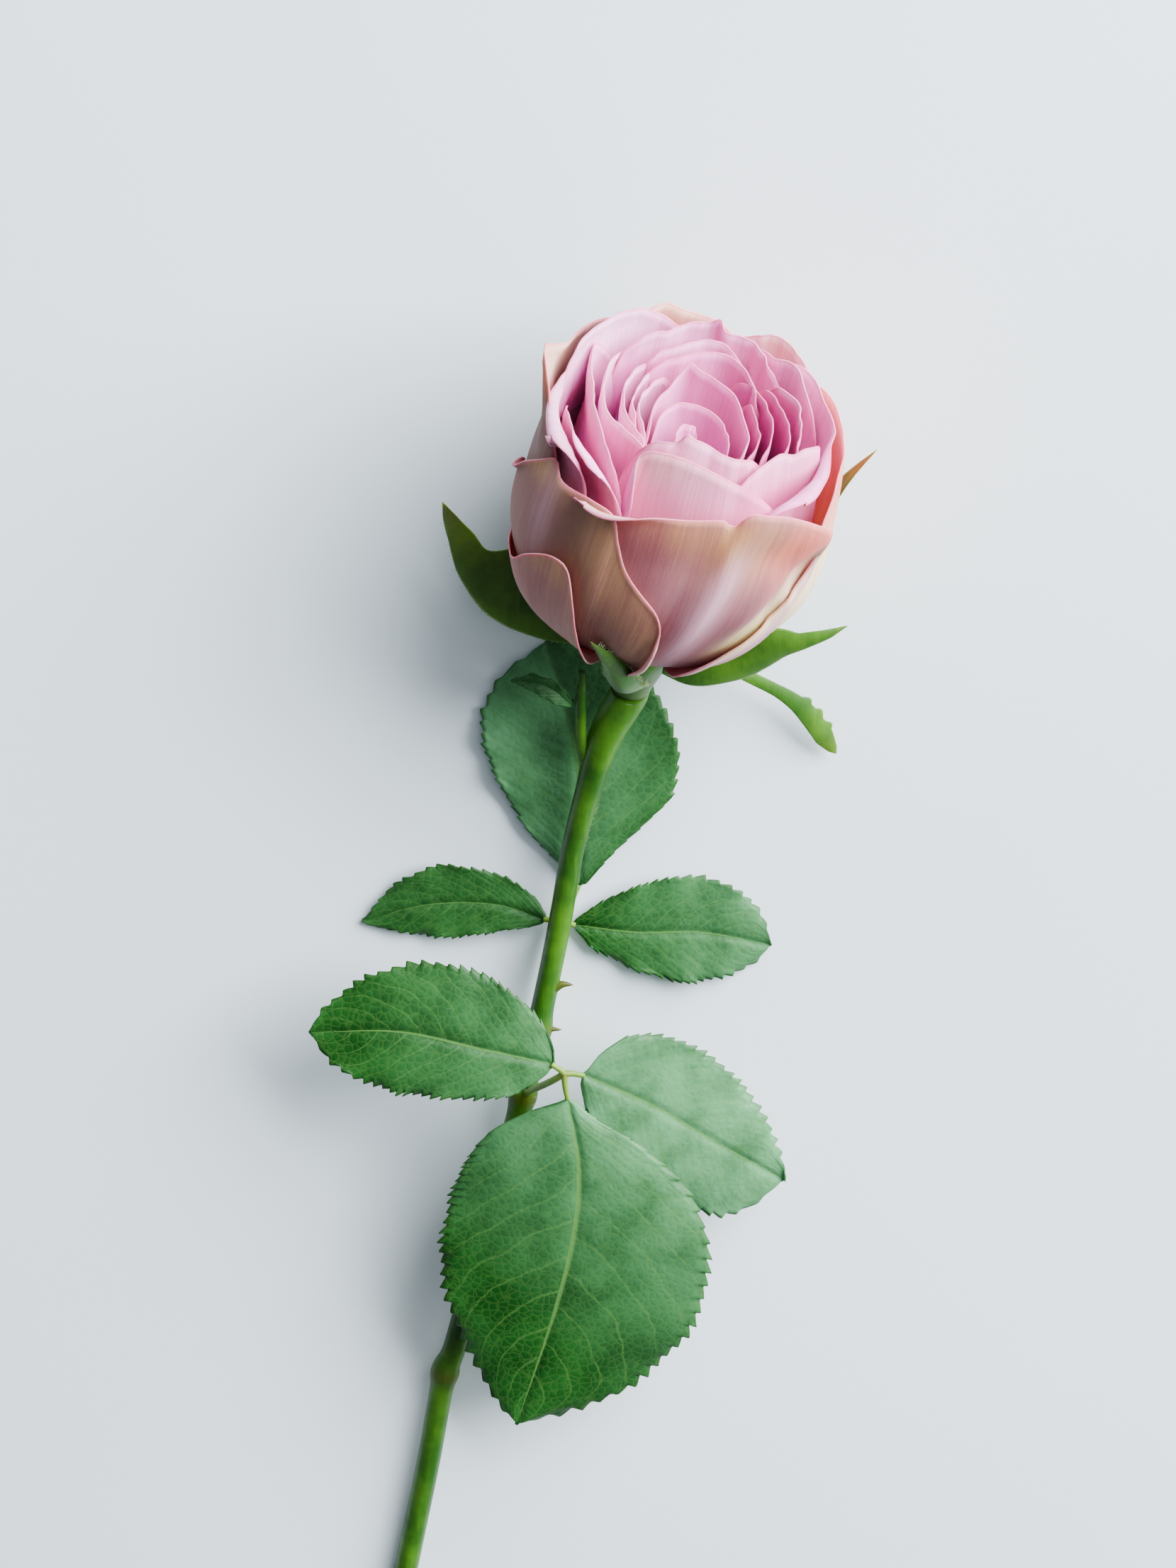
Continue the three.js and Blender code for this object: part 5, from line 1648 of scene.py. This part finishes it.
class Stem:
    """The main stem with its joints, side shoot and prickle, and the two leaf stalks."""

    PATH = ((-8.1, -25.4, 9.5), (-11.5, -36.7, 8.8), (-14.9, -50.6, 8), (-17.5, -66.2, 7.2),
        (-20.6, -82.3, 6.6), (-25.6, -106.1, 5.8),
            (-32.6, -134, 5), (-39.9, -162.9, 4.2), (-42.6, -171, 4), (-46.4, -192.4, 3.5),
            (-51.6, -218.4, 2.9), (-55.9, -239.9, 2.5))
    SHOOT = ((-11.6, -34.5, 8.9), (-13, -27, 9.9), (-13.3, -19, 12.3), (-13, -10.5, 15.4))
    JOINTS = ((-22.2, -90, 6.3), (-25.4, -105.1, 5.85), (-42.4, -170.3, 4))
    PRICKLES = (((-20.0, -81.6, 6.7), (-15.2, -79.4, 7.6), 1.5),
        ((-22.6, -91.6, 6.4), (-17.6, -89.6, 7.0), 1.2))
    FRONT_FORK = (-16.6, -94.1, 21.0)
    REAR_FORK = (-17.9, -67.6, 2.4)

    def __init__(self, plant: PlantFrame, wardrobe: Wardrobe) -> None:
        """Keeps where the rose lies and its finishes."""
        self.plant = plant
        self.wardrobe = wardrobe

    def build(self) -> list[bpy.types.Object]:
        """Models stem and stalks."""
        return [self._main(), self._stalk_top(), self._stalk_low()]

    def _main(self) -> bpy.types.Object:
        """The stem, side shoot, prickles and joint hairs in one piece."""
        seat = self.plant.seat
        start = np.array([seat - 17.3 * self.plant.axis, seat - 19.8 * self.plant.axis])
        path = spline(np.vstack([start, self.plant.table(self.PATH)]), 260)
        run = np.concatenate([[0.0], np.cumsum(np.linalg.norm(np.diff(path, axis=0), axis=1))])
        radii = np.interp(run, (0, 7, 16, 26, 36), (3.9, 3.8, 3.1, 2.5, 2.3)) + 0.0012 * run
        stain = np.full(len(path), 0.0)
        for joint in self.plant.table(self.JOINTS):
            gap = np.linalg.norm(path - joint, axis=1)
            radii = radii * (1.0 + 0.26 * np.exp(-((gap / 2.6) ** 2)))
            stain = stain + 0.55 * np.exp(-((gap / 2.0) ** 2))
        stain = stain + 0.35 * smooth_step(run[-1] - 2.0, run[-1], run)
        maker = MeshMaker("stem-body")
        maker.tube(path, radii, 28, {"along": np.clip(stain, 0, 1)},
                   lambda turn,
                   share: 1.0 + 0.02 * math.cos(3 * turn + 9 * share) + 0.012
                   * math.cos(7 * turn - 5 * share))
        shoot = spline(self.plant.table(self.SHOOT), 40)
        maker.tube(shoot, np.interp(np.linspace(0, 1, 40), (0, 0.1, 0.85, 1.0), (1.5, 1.15, 1.05, 0.7)), 16,
            {"along": np.zeros(40)})
        for root, tip, width in self.PRICKLES:
            self._prickle(maker, *self.plant.table((root, tip)), width)
        self._hairs(maker)
        piece = maker.finish((self.wardrobe.stem, self.wardrobe.wool))
        return dress(piece, Slot.STEM, "stem")

    @staticmethod
    def _prickle(maker: MeshMaker, root: np.ndarray, tip: np.ndarray, width: float) -> None:
        """A hooked prickle from root to tip."""
        middle = (root + tip) / 2 + np.array((0.3, 0.5, 0.1))
        path = spline((root, middle, tip + np.array((0.4, -0.5, 0))), 14)
        share = np.linspace(0, 1, 14)
        maker.tube(path, width * (1 - share) ** 0.8 + 0.06, 10, {"along": 0.25 + 0.6 * share})

    def _hairs(self, maker: MeshMaker) -> None:
        """Short pale hairs on one side of the neck and at the joints."""
        rng = np.random.default_rng(81)
        neck = spline(np.vstack([[self.plant.seat - 18 * self.plant.axis],
            self.plant.table(self.PATH[:3])]), 60)
        spots = [(neck[int(k)], 3.3 - 0.018 * k) for k in rng.integers(4, 58, 150)]
        spots += [(joint + rng.normal(0, 0.8, 3),
            2.4) for joint in self.plant.table(self.JOINTS[:2]) for _ in range(40)]
        for centre, radius in spots:
            out = unit_rows(np.array((1.0, 0.1 * rng.normal(), 0.25 * rng.normal())))
            root = centre + out * radius * 0.85
            length = rng.uniform(0.5, 1.1)
            lean = unit_rows(out + rng.normal(0, 0.3, 3))
            maker.hair(root, lean, length, radius=0.03, sink=0.45)

    def _branch(
        self, name: str, node: str, arms: Sequence[Sequence[Sequence[float]]], radius: float
    ) -> bpy.types.Object:
        """A forked leaf stalk.

        Args:
            name: the piece's name.
            node: the CAD node it stands for.
            arms: lines from the table mark, each a run of points.
            radius: radius in millimetres.

        Returns:
            The finished object.
        """
        maker = MeshMaker(name)
        for k, arm in enumerate(arms):
            line = spline(self.plant.table(arm), 36)
            share = np.linspace(0, 1, 36)
            size = radius * (np.interp(share, (0, 0.15, 1),
                (1.5, 1.05, 0.95)) if k == 0 else np.interp(share, (0, 0.5, 1), (0.95, 0.8, 0.7)))
            stain = np.interp(share, (0, 0.2, 0.85, 1), (0.5, 0.1, 0.1,
                0.6)) if k == 0 else np.interp(share, (0, 0.3, 1), (0.6, 0.15, 0.1))
            maker.tube(line, size, 14, {"along": stain})
        piece = maker.finish((self.wardrobe.stalk,))
        return dress(piece, Slot.STEM, node)

    def _stalk_top(self) -> bpy.types.Object:
        """The stalk of the raised front leaf."""
        fork = self.FRONT_FORK
        return self._branch("front-stalk", "leaf_stalk_top", (
            ((-24.6, -103.8, 7.4), (-22.6, -100.6, 13.2), (-19.4, -96.8, 18.6), fork),
            (fork, (-16.4, -97, 21.0), (-15.9, -99.8, 20.8)),
            (fork, (-17.6, -93, 21.3), (-19.2, -91.8, 21.5)),
            (fork, (-14.8, -94.2, 20.7), (-12.5, -94.8, 20.4)),
        ), 0.75)

    def _stalk_low(self) -> bpy.types.Object:
        """The stalk of the low rear leaf."""
        fork = self.REAR_FORK
        return self._branch("rear-stalk", "leaf_stalk_low", (
            ((-21.6, -88.2, 4.2), (-20.6, -80, 3.0), (-19.0, -72.5, 2.5), fork),
            (fork, (-15.6, -64.4, 2.4), (-13.7, -60, 2.4)),
            (fork, (-19.3, -67.6, 2.5), (-21, -67.4, 2.5)),
            (fork, (-16.4, -68.2, 2.5), (-14.4, -68.7, 2.5)),
        ), 0.75)


# ---------------------------------------------------------------------------------------------
# Stage
# ---------------------------------------------------------------------------------------------


class Stage:
    """Table, light and camera."""

    CAMERA_PLACE = (0.0016, 0.2752, 0.6933)
    CAMERA_TILT = 18.0  # degrees from straight down
    LENS = 81.89

    def build(self) -> None:
        """Sets the table, lights and camera."""
        self._table()
        self._light("window", (0.90, 0.78, 0.44), (0.0, 0.08, 0.03), 1.4, 160.0, (0.95, 0.97, 1.0))
        self._light("ceiling", (0.62, 0.60, 1.15), (0.0, 0.05, 0.02), 1.3, 9.0, (0.95, 0.98, 1.0))
        self._world()
        self._camera()

    @staticmethod
    def _table() -> None:
        """A wide pale table top at height nought."""
        maker = MeshMaker("table-top")
        bmesh.ops.create_grid(maker.bm, x_segments=1, y_segments=1, size=3.0)
        material, g, shader = new_material("table_paint")
        cloud = g.ramp(g.noise(g.place(), 4.0, 3.0, 0.5), 0.3, 0.7)
        g.put(shader.inputs["Base Color"], g.mix(cloud, (0.68, 0.78, 0.84), (0.74, 0.83, 0.88)))
        shader.inputs["Roughness"].default_value = 0.85
        table = maker.finish((material,), outward=False)

    @staticmethod
    def _light(
        name: str, place: Sequence[float], aim: Sequence[float], size: float, power: float, tint: Colour
    ) -> None:
        """One square area light.

        Args:
            name: name of the light.
            place: where it stands, in metres.
            aim: the point it faces.
            size: side in metres.
            power: watts.
            tint: its colour.
        """
        lamp = bpy.data.lights.new(name, "AREA")
        lamp.shape = "SQUARE"
        lamp.size = size
        lamp.energy = power
        lamp.color = tint
        holder = bpy.data.objects.new(name, lamp)
        holder.location = place
        holder.rotation_euler = (Vector(aim) - Vector(place)).to_track_quat("-Z", "Y").to_euler()
        bpy.context.scene.collection.objects.link(holder)

    @staticmethod
    def _world() -> None:
        """Even pale surroundings."""
        world = bpy.data.worlds.new("surroundings")
        world.use_nodes = True
        background = world.node_tree.nodes["Background"]
        background.inputs["Color"].default_value = (0.84, 0.92, 1.0, 1.0)
        background.inputs["Strength"].default_value = 0.27
        bpy.context.scene.world = world

    def _camera(self) -> None:
        """The camera above the bloom's side, looking down."""
        lens = bpy.data.cameras.new("camera")
        lens.lens = self.LENS
        lens.sensor_width = 36.0
        lens.sensor_fit = "AUTO"
        lens.clip_start = 0.01
        holder = bpy.data.objects.new("camera", lens)
        holder.location = self.CAMERA_PLACE
        holder.rotation_euler = (math.radians(-self.CAMERA_TILT), 0.0, 0.0)
        bpy.context.scene.collection.objects.link(holder)
        bpy.context.scene.camera = holder


def main() -> None:
    """Builds the rose piece by piece and sets the stage."""
    logging.basicConfig(level=logging.INFO, format="%(name)s: %(message)s")
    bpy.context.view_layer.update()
    plant = PlantFrame.from_cad()
    wardrobe = Wardrobe()
    Bloom(plant, wardrobe).build()
    for leaflet in leaflets():
        leaflet.build(plant, wardrobe.leaf)
    Calyx(plant, wardrobe).build()
    Stem(plant, wardrobe).build()
    Stage().build()


if __name__ == "__main__":
    main()
